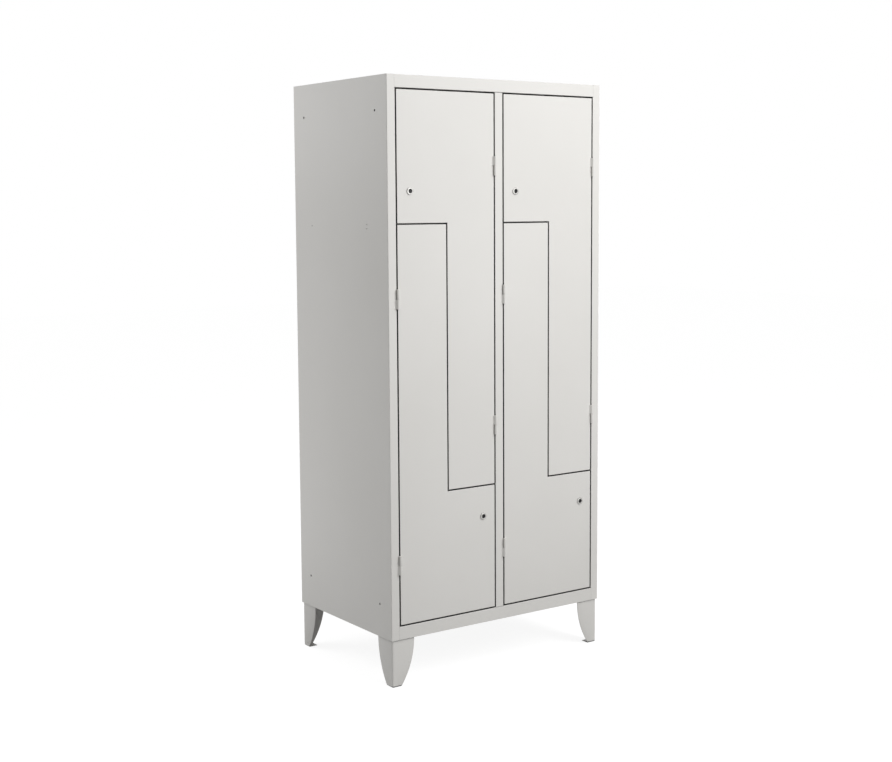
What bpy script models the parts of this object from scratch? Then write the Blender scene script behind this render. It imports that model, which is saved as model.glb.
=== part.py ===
"""A two-column Z locker in folded sheet steel, built as separate pieces.

Each column holds two interlocking L-shaped compartments, one above the other,
so each of four users gets a tall hanging space. Lengths are in metres, +Z is
up and the front faces -Y. The origin lies on the floor under the middle of the
locker's outline, hinge barrels included.
"""

import math

import bmesh
import bpy
from mathutils import Vector

# Overall size of the sheet body, without the hinge barrels
WIDTH = 0.800
DEPTH = 0.540
HEIGHT = 1.800
LEG_HEIGHT = 0.144

# Sheet metal, the gap between touching pieces, and how far a cutter runs past
SHEET = 0.001
FOLD_RADIUS = 0.0025
FIT = 0.0003
OVERRUN = 0.010

# Front frame: side stiles, centre stile, top rail and bottom rail
SIDE_STILE = 0.029
CENTRE_STILE = 0.030
TOP_RAIL = 0.038
BOTTOM_RAIL = 0.040
STILE_RETURN = 0.020
STILE_LIP = 0.010
BACK_RETURN = 0.020
REAR_FLANGE = 0.020

# Holes that bolt one locker to the next
JOINING_HOLE_RADIUS = 0.0026
JOINING_HOLE_FROM_END = 0.100
JOINING_HOLE_FROM_EDGE = 0.064

# Inner walls, and the height over which both doors of a column are narrow
Z_SPAN = 0.800
SHELF_FLANGE = 0.016
PARTITION_FLANGE = 0.015

# Doors and the hat-shaped stiffeners inside them
DOOR_GAP = 0.0035
DOOR_RETURN = 0.018
DOOR_LIP = 0.010
DOOR_FOLD_RADIUS = 0.0018
STIFFENER_WIDTH = 0.040
STIFFENER_FOOT = 0.012
STIFFENER_CLEARANCE = 0.0025

# Lift-off hinges
HINGE_HEIGHT = 0.058
HINGE_FROM_DOOR_TOP = 0.215
HINGE_FROM_DOOR_BOTTOM = 0.182
KNUCKLE_RADIUS = 0.0045
KNUCKLE_GAP = 0.0006
KNUCKLE_EDGE = 0.0008
PIN_RADIUS = 0.0022
PIN_CLEARANCE = 0.0004
BORE_END = 0.003
LEAF_THICKNESS = 0.0015
LEAF_DEPTH = 0.014

# Cam locks
LOCK_FROM_DOOR_EDGE = 0.0445
LOCK_FROM_Z_LINE = 0.095
LOCK_HEAD_RADIUS = 0.011
LOCK_HEAD_HEIGHT = 0.0032
LOCK_HEAD_ROUND = 0.0012
LOCK_BARREL_RADIUS = 0.009
LOCK_BARREL_LENGTH = 0.0195
PLUG_RADIUS = 0.0062
PLUG_RECESS = 0.0006
KEYHOLE_WIDTH = 0.0020
KEYHOLE_HEIGHT = 0.0080
KEYHOLE_DEPTH = 0.0100
STUB_SIDE = 0.0064
STUB_LENGTH = 0.0065
CAM_HUB_RADIUS = 0.009
CAM_TIP_RADIUS = 0.0065
CAM_REACH = 0.051
CAM_THICKNESS = 0.002

# Coat rails
RAIL_RADIUS = 0.004
RAIL_LENGTH = 0.120
RAIL_DROP = 0.055
RAIL_BEND = 0.014

# Legs
LEG_SHEET = 0.002
LEG_TOP_WIDTH = 0.078
LEG_FOOT_WIDTH = 0.031
LEG_FOLD_RADIUS = 0.005

# Facets of round forms, and the angle above which an edge is a fold
FOLD_STEPS = 2
LEG_FOLD_STEPS = 3
HOLE_SIDES = 16
BARREL_STEPS = 20
LOCK_STEPS = 28
HEAD_ROUND_STEPS = 3
ARC_STEPS = 8
RAIL_BEND_STEPS = 4
RAIL_ROUND_STEPS = 2
QUARTER_TURN = math.radians(90)
FOLD_ANGLE_LIMIT = math.radians(50)

# Planes and levels that follow from the sizes above
LEFT = -WIDTH / 2
RIGHT = WIDTH / 2
AXIS_PROUD = KNUCKLE_RADIUS + FIT
FRONT = (AXIS_PROUD + KNUCKLE_RADIUS - DEPTH) / 2
BACK = FRONT + DEPTH
BACK_FACE = BACK - SHEET - FIT
INNER_LEFT = LEFT + SHEET + FIT
INNER_RIGHT = RIGHT - SHEET - FIT
INNER_FRONT = FRONT + STILE_RETURN + FIT
INNER_BACK = BACK_FACE - SHEET - FIT
FLOOR = LEG_HEIGHT + BOTTOM_RAIL
CEILING = HEIGHT - TOP_RAIL
Z_UPPER = (FLOOR + CEILING + Z_SPAN) / 2
Z_LOWER = (FLOOR + CEILING - Z_SPAN) / 2
SEAM = SIDE_STILE - FOLD_RADIUS
LEG_INSET = BACK - INNER_BACK + SHEET + FIT
HINGE_AXIS_Y = FRONT - AXIS_PROUD
CAM_BACK = FRONT + LOCK_BARREL_LENGTH + STUB_LENGTH - FIT

# The clear width between the stiles of each column
COLUMNS = {
    "left": (LEFT + SIDE_STILE, -CENTRE_STILE / 2),
    "right": (CENTRE_STILE / 2, RIGHT - SIDE_STILE),
}

POWDER_COAT = ("light_grey_powder_coat", (0.72, 0.72, 0.69, 1.0), 0.0, 0.42)
ZINC = ("zinc_plate", (0.62, 0.63, 0.64, 1.0), 1.0, 0.35)
CHROME = ("chrome_plate", (0.80, 0.80, 0.82, 1.0), 1.0, 0.12)


def clear_objects():
    """Remove the scene's objects."""
    for item in list(bpy.data.objects):
        bpy.data.objects.remove(item, do_unlink=True)


def new_collection(name):
    """Link a new collection to the scene."""
    group = bpy.data.collections.new(name)
    bpy.context.scene.collection.children.link(group)
    return group


def new_material(owner, finish):
    """Make one piece's own material from a finish."""
    label, colour, metallic, roughness = finish
    material = bpy.data.materials.new(owner + "_" + label)
    material.use_nodes = True
    shader = material.node_tree.nodes["Principled BSDF"]
    shader.inputs["Base Color"].default_value = colour
    shader.inputs["Metallic"].default_value = metallic
    shader.inputs["Roughness"].default_value = roughness
    return material


def mesh_from(name, builder):
    """Store a bmesh as a mesh."""
    mesh = bpy.data.meshes.new(name)
    builder.to_mesh(mesh)
    builder.free()
    return mesh


def add_piece(name, builder, finish):
    """Add a named piece with its own material."""
    piece = bpy.data.objects.new(name, mesh_from(name, builder))
    piece.data.materials.append(new_material(name, finish))
    PARTS.objects.link(piece)
    return piece


def add_tool(name, builder):
    """Add the hidden operand of a Boolean."""
    tool = bpy.data.objects.new(name, mesh_from(name, builder))
    tool.hide_render = True
    tool.display_type = "WIRE"
    CUTTERS.objects.link(tool)
    return tool


def cut(piece, name, builder):
    """Take a shape away from a piece."""
    modifier = piece.modifiers.new(name, "BOOLEAN")
    modifier.operation = "DIFFERENCE"
    modifier.object = add_tool(name, builder)


def join(piece, name, builder):
    """Weld a shape to a piece."""
    modifier = piece.modifiers.new(name, "BOOLEAN")
    modifier.operation = "UNION"
    modifier.object = add_tool(name, builder)


def thicken(piece, thickness):
    """Give a surface its thickness, behind its outer face."""
    modifier = piece.modifiers.new("sheet", "SOLIDIFY")
    modifier.thickness = thickness
    modifier.offset = -1.0
    modifier.use_even_offset = True


def round_folds(piece, radius, steps):
    """Round every fold of a surface."""
    modifier = piece.modifiers.new("folds", "BEVEL")
    modifier.width = radius
    modifier.segments = steps
    modifier.limit_method = "ANGLE"
    modifier.angle_limit = FOLD_ANGLE_LIMIT


def turn(piece, steps):
    """Spin a profile about its own Z axis."""
    modifier = piece.modifiers.new("turned", "SCREW")
    modifier.steps = steps
    modifier.render_steps = steps
    modifier.use_merge_vertices = True
    modifier.merge_threshold = FIT / 10
    modifier.use_smooth_shade = True


def add_pivot(name, place, parent=None):
    """Add an empty on a joint's axis."""
    pivot = bpy.data.objects.new(name, None)
    PARTS.objects.link(pivot)
    pivot.location = place
    if parent:
        hang_on(pivot, parent)
    bpy.context.view_layer.update()
    return pivot


def hang_on(piece, pivot):
    """Parent a piece to a pivot and leave it where it is."""
    piece.parent = pivot
    piece.location = piece.location - pivot.matrix_world.translation


def box(low, high):
    """A box between two corners."""
    builder = bmesh.new()
    bmesh.ops.create_cube(builder, size=1.0)
    bmesh.ops.scale(builder, vec=Vector(high) - Vector(low), verts=builder.verts)
    bmesh.ops.translate(builder, vec=(Vector(high) + Vector(low)) / 2, verts=builder.verts)
    return builder


def rod(radius, start, end):
    """A plain cylinder between two points."""
    builder = bmesh.new()
    line = Vector(end) - Vector(start)
    bmesh.ops.create_cone(builder, cap_ends=True, segments=HOLE_SIDES, radius1=radius,
                          radius2=radius, depth=line.length)
    aim = Vector((0, 0, 1)).rotation_difference(line).to_matrix()
    bmesh.ops.rotate(builder, matrix=aim, verts=builder.verts)
    bmesh.ops.translate(builder, vec=(Vector(start) + Vector(end)) / 2, verts=builder.verts)
    return builder


def prism(outline, travel):
    """A flat outline of 3D points, swept along a straight travel."""
    builder = bmesh.new()
    face = builder.faces.new([builder.verts.new(point) for point in outline])
    swept = bmesh.ops.extrude_face_region(builder, geom=[face])["geom"]
    moved = [item for item in swept if isinstance(item, bmesh.types.BMVert)]
    bmesh.ops.translate(builder, vec=travel, verts=moved)
    bmesh.ops.recalc_face_normals(builder, faces=builder.faces)
    return builder


def flat_sheet(outline):
    """One flat face, its points running anticlockwise as seen from outside."""
    builder = bmesh.new()
    builder.faces.new([builder.verts.new(point) for point in outline])
    return builder


def rounded_path(points, radius, steps):
    """Replace the square corners of an open path of 2D points by arcs."""
    path = [Vector(points[0])]
    for before, corner, after in zip(points, points[1:], points[2:]):
        back = (Vector(before) - Vector(corner)).normalized()
        ahead = (Vector(after) - Vector(corner)).normalized()
        centre = Vector(corner) + (back + ahead) * radius
        for step in range(steps + 1):
            angle = QUARTER_TURN * step / steps
            path.append(centre - ahead * radius * math.cos(angle) - back * radius * math.sin(angle))
    path.append(Vector(points[-1]))
    return path


def folded_surface(corners, place, travel):
    """Sweep the outer line of a folded profile along its folds.

    The outer side of each face is where the cross product of the line's
    direction and the travel points. place turns a 2D point of the line into
    its 3D start.
    """
    builder = bmesh.new()
    path = rounded_path(corners, FOLD_RADIUS, FOLD_STEPS)
    near = [builder.verts.new(place(*point)) for point in path]
    far = [builder.verts.new(Vector(place(*point)) + Vector(travel)) for point in path]
    for index in range(len(path) - 1):
        after = index + 1
        builder.faces.new((near[index], near[after], far[after], far[index]))
    return builder


def upright_fold(name, corners, bottom, top):
    """A folded sheet whose folds stand upright, from its outline in plan."""
    surface = folded_surface(corners, lambda x, y: (x, y, bottom), (0, 0, top - bottom))
    piece = add_piece(name, surface, POWDER_COAT)
    thicken(piece, SHEET)
    return piece


def cross_fold(name, corners):
    """A folded sheet whose folds run from wall to wall, from its side view."""
    surface = folded_surface(corners, lambda y, z: (INNER_LEFT, y, z),
                             (INNER_RIGHT - INNER_LEFT, 0, 0))
    piece = add_piece(name, surface, POWDER_COAT)
    thicken(piece, SHEET)
    return piece


def mirrored(points, mirror):
    """Mirror a folded line in X, turned round so its outside stays outside."""
    if mirror > 0:
        return points
    return [(-x, y) for x, y in reversed(points)]


def build_side_panel(side, mirror):
    """A wall folded round into the front stile and the rear return."""
    corners = [
        (LEFT + BACK_RETURN, BACK),
        (LEFT, BACK),
        (LEFT, FRONT),
        (LEFT + SIDE_STILE, FRONT),
        (LEFT + SIDE_STILE, FRONT + STILE_RETURN),
        (LEFT + SIDE_STILE - STILE_LIP, FRONT + STILE_RETURN),
    ]
    piece = upright_fold(side + "_side_panel", mirrored(corners, mirror), LEG_HEIGHT, HEIGHT)
    inside = FOLD_RADIUS + FIT
    notch = [
        (LEFT + SEAM, FRONT - OVERRUN),
        (LEFT + SIDE_STILE + OVERRUN, FRONT - OVERRUN),
        (LEFT + SIDE_STILE + OVERRUN, FRONT + STILE_RETURN + OVERRUN),
        (LEFT + inside, FRONT + STILE_RETURN + OVERRUN),
        (LEFT + inside, FRONT + inside),
        (LEFT + SEAM, FRONT + inside),
    ]
    ends = {
        "foot": (LEG_HEIGHT - OVERRUN, FLOOR + FIT),
        "head": (CEILING - FIT, HEIGHT + OVERRUN),
    }
    for end, (low, high) in ends.items():
        outline = [(mirror * x, y, low) for x, y in notch]
        cut(piece, side + "_stile_" + end + "_notch", prism(outline, (0, 0, high - low)))
    for end, z in (("lower", LEG_HEIGHT + JOINING_HOLE_FROM_END),
                   ("upper", HEIGHT - JOINING_HOLE_FROM_END)):
        for edge, y in (("front", FRONT + JOINING_HOLE_FROM_EDGE),
                        ("rear", BACK - JOINING_HOLE_FROM_EDGE)):
            outer = (mirror * (LEFT - OVERRUN), y, z)
            inner = (mirror * (INNER_LEFT + OVERRUN), y, z)
            cut(piece, "_".join((side, end, edge, "joining_hole")),
                rod(JOINING_HOLE_RADIUS, outer, inner))


def notch_front_corners(piece, name, low, high):
    """Make room for the flat stile faces at both ends of a rail."""
    for side, mirror in (("left", 1), ("right", -1)):
        reach = sorted((mirror * (LEFT - OVERRUN), mirror * (LEFT + SEAM + FIT)))
        cut(piece, side + "_" + name,
            box((reach[0], FRONT - OVERRUN, low - OVERRUN),
                (reach[1], FRONT + FOLD_RADIUS + FIT, high + OVERRUN)))


def build_top_panel():
    """The top, folded down into the top rail and back behind the opening."""
    piece = cross_fold("top_panel", [
        (INNER_BACK, HEIGHT - REAR_FLANGE),
        (INNER_BACK, HEIGHT),
        (FRONT, HEIGHT),
        (FRONT, CEILING),
        (FRONT + STILE_RETURN, CEILING),
        (FRONT + STILE_RETURN, CEILING + STILE_LIP),
    ])
    notch_front_corners(piece, "top_notch", CEILING, HEIGHT)


def build_base_panel():
    """The floor, folded down into the bottom rail."""
    piece = cross_fold("base_panel", [
        (INNER_BACK, FLOOR - REAR_FLANGE),
        (INNER_BACK, FLOOR),
        (FRONT, FLOOR),
        (FRONT, LEG_HEIGHT),
    ])
    notch_front_corners(piece, "base_notch", LEG_HEIGHT, FLOOR)


def build_back_panel():
    """A flat sheet held inside the rear returns of the side panels."""
    reach = RIGHT - FOLD_RADIUS - FIT
    piece = add_piece("back_panel", flat_sheet([
        (reach, BACK_FACE, LEG_HEIGHT),
        (-reach, BACK_FACE, LEG_HEIGHT),
        (-reach, BACK_FACE, HEIGHT),
        (reach, BACK_FACE, HEIGHT),
    ]), POWDER_COAT)
    thicken(piece, SHEET)


def build_centre_stile():
    """A channel with its lips turned in, between the rails."""
    half = CENTRE_STILE / 2
    upright_fold("centre_stile", [
        (STILE_LIP - half, FRONT + STILE_RETURN),
        (-half, FRONT + STILE_RETURN),
        (-half, FRONT),
        (half, FRONT),
        (half, FRONT + STILE_RETURN),
        (half - STILE_LIP, FRONT + STILE_RETURN),
    ], FLOOR + FIT, CEILING - FIT)


def build_centre_divider():
    """The wall between the columns, its front edge inside the centre stile."""
    left_face = -SHEET / 2
    near = FRONT + SHEET + FIT
    bottom = FLOOR + FIT
    top = HEIGHT - SHEET - FIT
    below_rail = CEILING - FIT
    far = INNER_BACK - FOLD_RADIUS
    piece = add_piece("centre_divider", flat_sheet([
        (left_face, near, bottom),
        (left_face, near, below_rail),
        (left_face, INNER_FRONT, below_rail),
        (left_face, INNER_FRONT, top),
        (left_face, far, top),
        (left_face, far, bottom),
    ]), POWDER_COAT)
    thicken(piece, SHEET)


def build_shelf(name, left_end, right_end, level):
    """A shelf with its four edges folded down."""
    builder = box((left_end, INNER_FRONT, level - SHELF_FLANGE), (right_end, INNER_BACK, level))
    underside = min(builder.faces, key=lambda face: face.calc_center_median().z)
    bmesh.ops.delete(builder, geom=[underside], context="FACES_ONLY")
    piece = add_piece(name, builder, POWDER_COAT)
    thicken(piece, SHEET)


def build_coat_rail(name, middle, underside):
    """A bent round bar that hangs from the sheet above it."""
    half = RAIL_LENGTH / 2
    low = underside - RAIL_DROP
    bend = rounded_path([(middle - half, underside), (middle - half, low),
                         (middle + half, low), (middle + half, underside)],
                        RAIL_BEND, RAIL_BEND_STEPS)
    curve = bpy.data.curves.new(name, "CURVE")
    curve.dimensions = "3D"
    curve.bevel_depth = RAIL_RADIUS
    curve.bevel_resolution = RAIL_ROUND_STEPS
    curve.use_fill_caps = True
    line = curve.splines.new("POLY")
    line.points.add(len(bend) - 1)
    depth = (INNER_FRONT + INNER_BACK) / 2
    for point, (x, z) in zip(line.points, bend):
        point.co = (x, depth, z, 1.0)
    curve.materials.append(new_material(name, ZINC))
    PARTS.objects.link(bpy.data.objects.new(name, curve))


def build_inner_walls(column, walls):
    """The step-shaped wall between a column's two compartments."""
    left_end, right_end = walls
    opening = COLUMNS[column]
    middle = sum(opening) / 2
    upper_level = Z_UPPER + SHEET / 2
    lower_level = Z_LOWER + SHEET / 2
    web = middle - SHEET / 2
    build_shelf(column + "_upper_shelf", left_end, web - FIT, upper_level)
    build_shelf(column + "_lower_shelf", web, right_end, lower_level)
    upright_fold(column + "_mid_partition", [
        (web + PARTITION_FLANGE, INNER_BACK),
        (web, INNER_BACK),
        (web, INNER_FRONT),
        (web + PARTITION_FLANGE, INNER_FRONT),
    ], lower_level + FIT, upper_level)
    build_coat_rail(column + "_upper_coat_rail", (middle + opening[1]) / 2, HEIGHT - SHEET - FIT)
    build_coat_rail(column + "_lower_coat_rail", (middle + opening[0]) / 2,
                    upper_level - SHEET - FIT)


def build_leg(name, side, end):
    """A pressed leg: two tapering flanges and a foot plate folded from one sheet.

    The front legs reach up to the floor, and the rear ones to the fold of its
    rear flange.
    """
    top = FLOOR - FIT - (SHEET if end < 0 else FOLD_RADIUS)
    drop = LEG_TOP_WIDTH - LEG_FOOT_WIDTH
    radius = (LEG_HEIGHT ** 2 + drop ** 2) / (2 * drop)
    sweep = math.asin(LEG_HEIGHT / radius)
    flange = [(0, 0)]
    for step in range(ARC_STEPS + 1):
        angle = sweep * (1 - step / ARC_STEPS)
        flange.append((LEG_TOP_WIDTH - radius * (1 - math.cos(angle)),
                       LEG_HEIGHT - radius * math.sin(angle)))
    flange += [(LEG_TOP_WIDTH, top), (0, top)]
    foot = [(0, 0), (0, LEG_FOOT_WIDTH), (LEG_FOOT_WIDTH, LEG_FOOT_WIDTH), (LEG_FOOT_WIDTH, 0)]
    faces = [[(along, 0, z) for along, z in flange],
             [(0, along, z) for along, z in reversed(flange)],
             [(x, y, 0) for x, y in foot]]
    corner = Vector((side * (RIGHT - LEG_INSET), (FRONT + BACK + end * (DEPTH - 2 * LEG_INSET)) / 2, 0))
    builder = bmesh.new()
    for face in faces:
        points = [corner + Vector((-side * x, -end * y, z)) for x, y, z in face]
        if side * end < 0:
            points.reverse()
        builder.faces.new([builder.verts.new(point) for point in points])
    bmesh.ops.remove_doubles(builder, verts=builder.verts, dist=FIT / 10)
    piece = add_piece(name, builder, POWDER_COAT)
    round_folds(piece, LEG_FOLD_RADIUS, LEG_FOLD_STEPS)
    thicken(piece, LEG_SHEET)


def knuckle_profile(low, high, inner):
    """The outer side of a hinge knuckle, top to bottom, from an inner radius."""
    return [
        (inner, high),
        (KNUCKLE_RADIUS - KNUCKLE_EDGE, high),
        (KNUCKLE_RADIUS, high - KNUCKLE_EDGE),
        (KNUCKLE_RADIUS, low + KNUCKLE_EDGE),
        (KNUCKLE_RADIUS - KNUCKLE_EDGE, low),
    ]


def profile_line(points, closed=False):
    """An edge path in the XZ plane, ready to be turned."""
    builder = bmesh.new()
    verts = [builder.verts.new((radius, 0, height)) for radius, height in points]
    for pair in zip(verts, verts[1:]):
        builder.edges.new(pair)
    if closed:
        builder.edges.new((verts[-1], verts[0]))
    return builder


def hinge_leaf(axis, carrier, low, high):
    """The welded leaf in the door gap, beside the piece that carries it."""
    face = axis.x + carrier * (DOOR_GAP / 2 - FIT)
    reach = sorted((face, face - carrier * LEAF_THICKNESS))
    start = HINGE_AXIS_Y + (KNUCKLE_RADIUS + PIN_RADIUS + PIN_CLEARANCE) / 2
    inset = 2 * KNUCKLE_EDGE
    return box((reach[0], start, low + inset), (reach[1], FRONT + LEAF_DEPTH, high - inset))


def build_hinge(door, place, axis, stile_side, pivot):
    """A lift-off hinge: the pin's half on the frame, the socket on the door."""
    top = HINGE_HEIGHT / 2
    split = KNUCKLE_GAP / 2
    socket_end = top - BORE_END
    pin_top = socket_end - PIN_CLEARANCE
    pin = [
        (0, pin_top),
        (PIN_RADIUS - PIN_CLEARANCE, pin_top),
        (PIN_RADIUS, pin_top - PIN_CLEARANCE),
        (PIN_RADIUS, -split),
    ]
    lower = pin + knuckle_profile(-top, -split, PIN_RADIUS)[1:] + [(0, -top)]
    frame_half = add_piece(door + "_frame_hinge_" + place, profile_line(lower), POWDER_COAT)
    socket = PIN_RADIUS + PIN_CLEARANCE
    upper = [(0, top)] + knuckle_profile(split, top, 0)[1:]
    upper += [(socket, split), (socket, socket_end), (0, socket_end)]
    door_half = add_piece(door + "_door_hinge_" + place, profile_line(upper), POWDER_COAT)
    for piece, carrier, low, high in ((frame_half, stile_side, -top, -split),
                                      (door_half, -stile_side, split, top)):
        piece.location = axis
        turn(piece, BARREL_STEPS)
        join(piece, piece.name + "_leaf", hinge_leaf(axis, carrier, axis.z + low, axis.z + high))
    hang_on(door_half, pivot)


def build_lock(door, axis, arm, door_pivot):
    """A cam lock: head and barrel in one, with a turning plug and its cam."""
    pivot = add_pivot(door + "_lock_pivot", axis, door_pivot)
    bore = PLUG_RADIUS + FIT
    head = FIT + LOCK_HEAD_HEIGHT
    edge = LOCK_HEAD_RADIUS - LOCK_HEAD_ROUND
    profile = [(bore, head)]
    for step in range(HEAD_ROUND_STEPS + 1):
        angle = QUARTER_TURN * step / HEAD_ROUND_STEPS
        profile.append((edge + LOCK_HEAD_ROUND * math.sin(angle),
                        head - LOCK_HEAD_ROUND * (1 - math.cos(angle))))
    profile += [(LOCK_HEAD_RADIUS, FIT), (LOCK_BARREL_RADIUS, FIT),
                (LOCK_BARREL_RADIUS, -LOCK_BARREL_LENGTH), (bore, -LOCK_BARREL_LENGTH)]
    housing = add_piece(door + "_lock_housing", profile_line(profile, closed=True), CHROME)
    front = head - PLUG_RECESS
    plug = add_piece(door + "_lock_plug", profile_line(
        [(0, front), (PLUG_RADIUS, front), (PLUG_RADIUS, -LOCK_BARREL_LENGTH),
         (0, -LOCK_BARREL_LENGTH)]), CHROME)
    for piece in (housing, plug):
        piece.location = axis
        piece.rotation_euler = (QUARTER_TURN, 0, 0)
        turn(piece, LOCK_STEPS)
    half = STUB_SIDE / 2
    plug_back = axis.y + LOCK_BARREL_LENGTH
    join(plug, door + "_lock_stub", box((axis.x - half, plug_back - half, axis.z - half),
                                        (axis.x + half, plug_back + STUB_LENGTH, axis.z + half)))
    slot = (KEYHOLE_WIDTH / 2, KEYHOLE_HEIGHT / 2)
    cut(plug, door + "_keyhole", box((axis.x - slot[0], axis.y - front - OVERRUN, axis.z - slot[1]),
                                     (axis.x + slot[0], axis.y + KEYHOLE_DEPTH, axis.z + slot[1])))
    cam = build_cam(door + "_lock_cam", axis, arm)
    hang_on(housing, door_pivot)
    hang_on(plug, pivot)
    hang_on(cam, pivot)


def build_cam(name, axis, arm):
    """A flat cam, round at the hub and at the tip, with a square hole."""
    tangent = math.acos((CAM_HUB_RADIUS - CAM_TIP_RADIUS) / CAM_REACH)
    outline = []
    for step in range(2 * ARC_STEPS + 1):
        angle = tangent + (math.tau - 2 * tangent) * step / (2 * ARC_STEPS)
        outline.append((CAM_HUB_RADIUS * math.sin(angle), CAM_HUB_RADIUS * math.cos(angle)))
    for step in range(ARC_STEPS + 1):
        angle = -tangent + 2 * tangent * step / ARC_STEPS
        outline.append((CAM_TIP_RADIUS * math.sin(angle),
                        CAM_REACH + CAM_TIP_RADIUS * math.cos(angle)))
    near = CAM_BACK - CAM_THICKNESS
    points = [(axis.x + x, near, axis.z + arm * z) for x, z in outline]
    cam = add_piece(name, prism(points, (0, CAM_THICKNESS, 0)), ZINC)
    half = STUB_SIDE / 2 + FIT
    cut(cam, name + "_hole", box((axis.x - half, near - OVERRUN, axis.z - half),
                                 (axis.x + half, CAM_BACK + OVERRUN, axis.z + half)))
    return cam


def door_outline(opening, level):
    """The L-shaped outline of a door, as (x, z) points seen from the front."""
    left, right = opening
    middle = (left + right) / 2
    half_gap = DOOR_GAP / 2
    if level == "upper":
        return [
            (left + DOOR_GAP, Z_UPPER + half_gap),
            (middle + half_gap, Z_UPPER + half_gap),
            (middle + half_gap, Z_LOWER + half_gap),
            (right - DOOR_GAP, Z_LOWER + half_gap),
            (right - DOOR_GAP, CEILING - DOOR_GAP),
            (left + DOOR_GAP, CEILING - DOOR_GAP),
        ]
    return [
        (left + DOOR_GAP, FLOOR + DOOR_GAP),
        (right - DOOR_GAP, FLOOR + DOOR_GAP),
        (right - DOOR_GAP, Z_LOWER - half_gap),
        (middle - half_gap, Z_LOWER - half_gap),
        (middle - half_gap, Z_UPPER - half_gap),
        (left + DOOR_GAP, Z_UPPER - half_gap),
    ]


def door_pan(outline):
    """A front face with deep returns and inward lips, open at the back."""
    builder = prism([(x, FRONT, z) for x, z in outline], (0, DOOR_RETURN, 0))
    back = max(builder.faces, key=lambda face: face.calc_center_median().y)
    bmesh.ops.inset_region(builder, faces=[back], thickness=DOOR_LIP, use_even_offset=True)
    bmesh.ops.delete(builder, geom=[back], context="FACES_ONLY")
    return builder


def build_stiffener(door, middle, bottom, top):
    """A hat section over the full height of the door's hinge side."""
    half = STIFFENER_WIDTH / 2
    seat = FRONT + SHEET + FIT
    crest = FRONT + DOOR_RETURN - 2 * SHEET - STIFFENER_CLEARANCE
    return upright_fold(door + "_door_stiffener", [
        (middle - half - STIFFENER_FOOT, seat),
        (middle - half, seat),
        (middle - half, crest),
        (middle + half, crest),
        (middle + half, seat),
        (middle + half + STIFFENER_FOOT, seat),
    ], bottom + SHEET + FIT, top - SHEET - FIT)


def build_door(column, level):
    """One door with everything that swings with it."""
    door = column + "_" + level
    opening = COLUMNS[column]
    outline = door_outline(opening, level)
    stile_side = 1 if level == "upper" else -1
    hinge_edge = max(x * stile_side for x, z in outline) * stile_side
    free_edge = min(x * stile_side for x, z in outline) * stile_side
    bottom = min(z for x, z in outline)
    top = max(z for x, z in outline)
    axis_x = hinge_edge + stile_side * DOOR_GAP / 2
    pivot = add_pivot(door + "_door_pivot", (axis_x, HINGE_AXIS_Y, (bottom + top) / 2))
    panel = add_piece(door + "_door_panel", door_pan(outline), POWDER_COAT)
    round_folds(panel, DOOR_FOLD_RADIUS, FOLD_STEPS)
    thicken(panel, SHEET)
    lock_z = Z_UPPER + LOCK_FROM_Z_LINE if level == "upper" else Z_LOWER - LOCK_FROM_Z_LINE
    lock_axis = Vector((free_edge + stile_side * LOCK_FROM_DOOR_EDGE, FRONT, lock_z))
    reach = Vector((0, OVERRUN, 0))
    cut(panel, door + "_lock_hole", rod(LOCK_BARREL_RADIUS + FIT, lock_axis - reach, lock_axis + reach))
    hang_on(panel, pivot)
    narrow_middle = (hinge_edge + sum(opening) / 2) / 2
    hang_on(build_stiffener(door, narrow_middle, bottom, top), pivot)
    for place, height in (("top", top - HINGE_FROM_DOOR_TOP),
                          ("bottom", bottom + HINGE_FROM_DOOR_BOTTOM)):
        build_hinge(door, place, Vector((axis_x, HINGE_AXIS_Y, height)), stile_side, pivot)
    build_lock(door, lock_axis, stile_side, pivot)


def build_locker():
    """Build every piece of the locker."""
    build_side_panel("left", 1)
    build_side_panel("right", -1)
    build_top_panel()
    build_base_panel()
    build_back_panel()
    build_centre_stile()
    build_centre_divider()
    build_inner_walls("left", (INNER_LEFT, -SHEET / 2 - FIT))
    build_inner_walls("right", (SHEET / 2 + FIT, INNER_RIGHT))
    for end_name, end in (("front", -1), ("rear", 1)):
        for side_name, side in (("left", -1), ("right", 1)):
            build_leg(end_name + "_" + side_name + "_leg", side, end)
    for column in COLUMNS:
        for level in ("upper", "lower"):
            build_door(column, level)


clear_objects()
PARTS = new_collection("z_locker")
CUTTERS = new_collection("cutters")
build_locker()
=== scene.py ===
"""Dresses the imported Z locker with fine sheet-metal pieces, fittings, finishes and a plain studio.

Every new piece is a surface worked out with numpy, in metres, in the frame of
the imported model: +Z is up and the front faces -Y.
"""
import math

import bmesh
import bpy
import numpy as np
from bpy.props import FloatProperty, FloatVectorProperty, IntProperty, PointerProperty
from mathutils import Matrix, Vector


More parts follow.
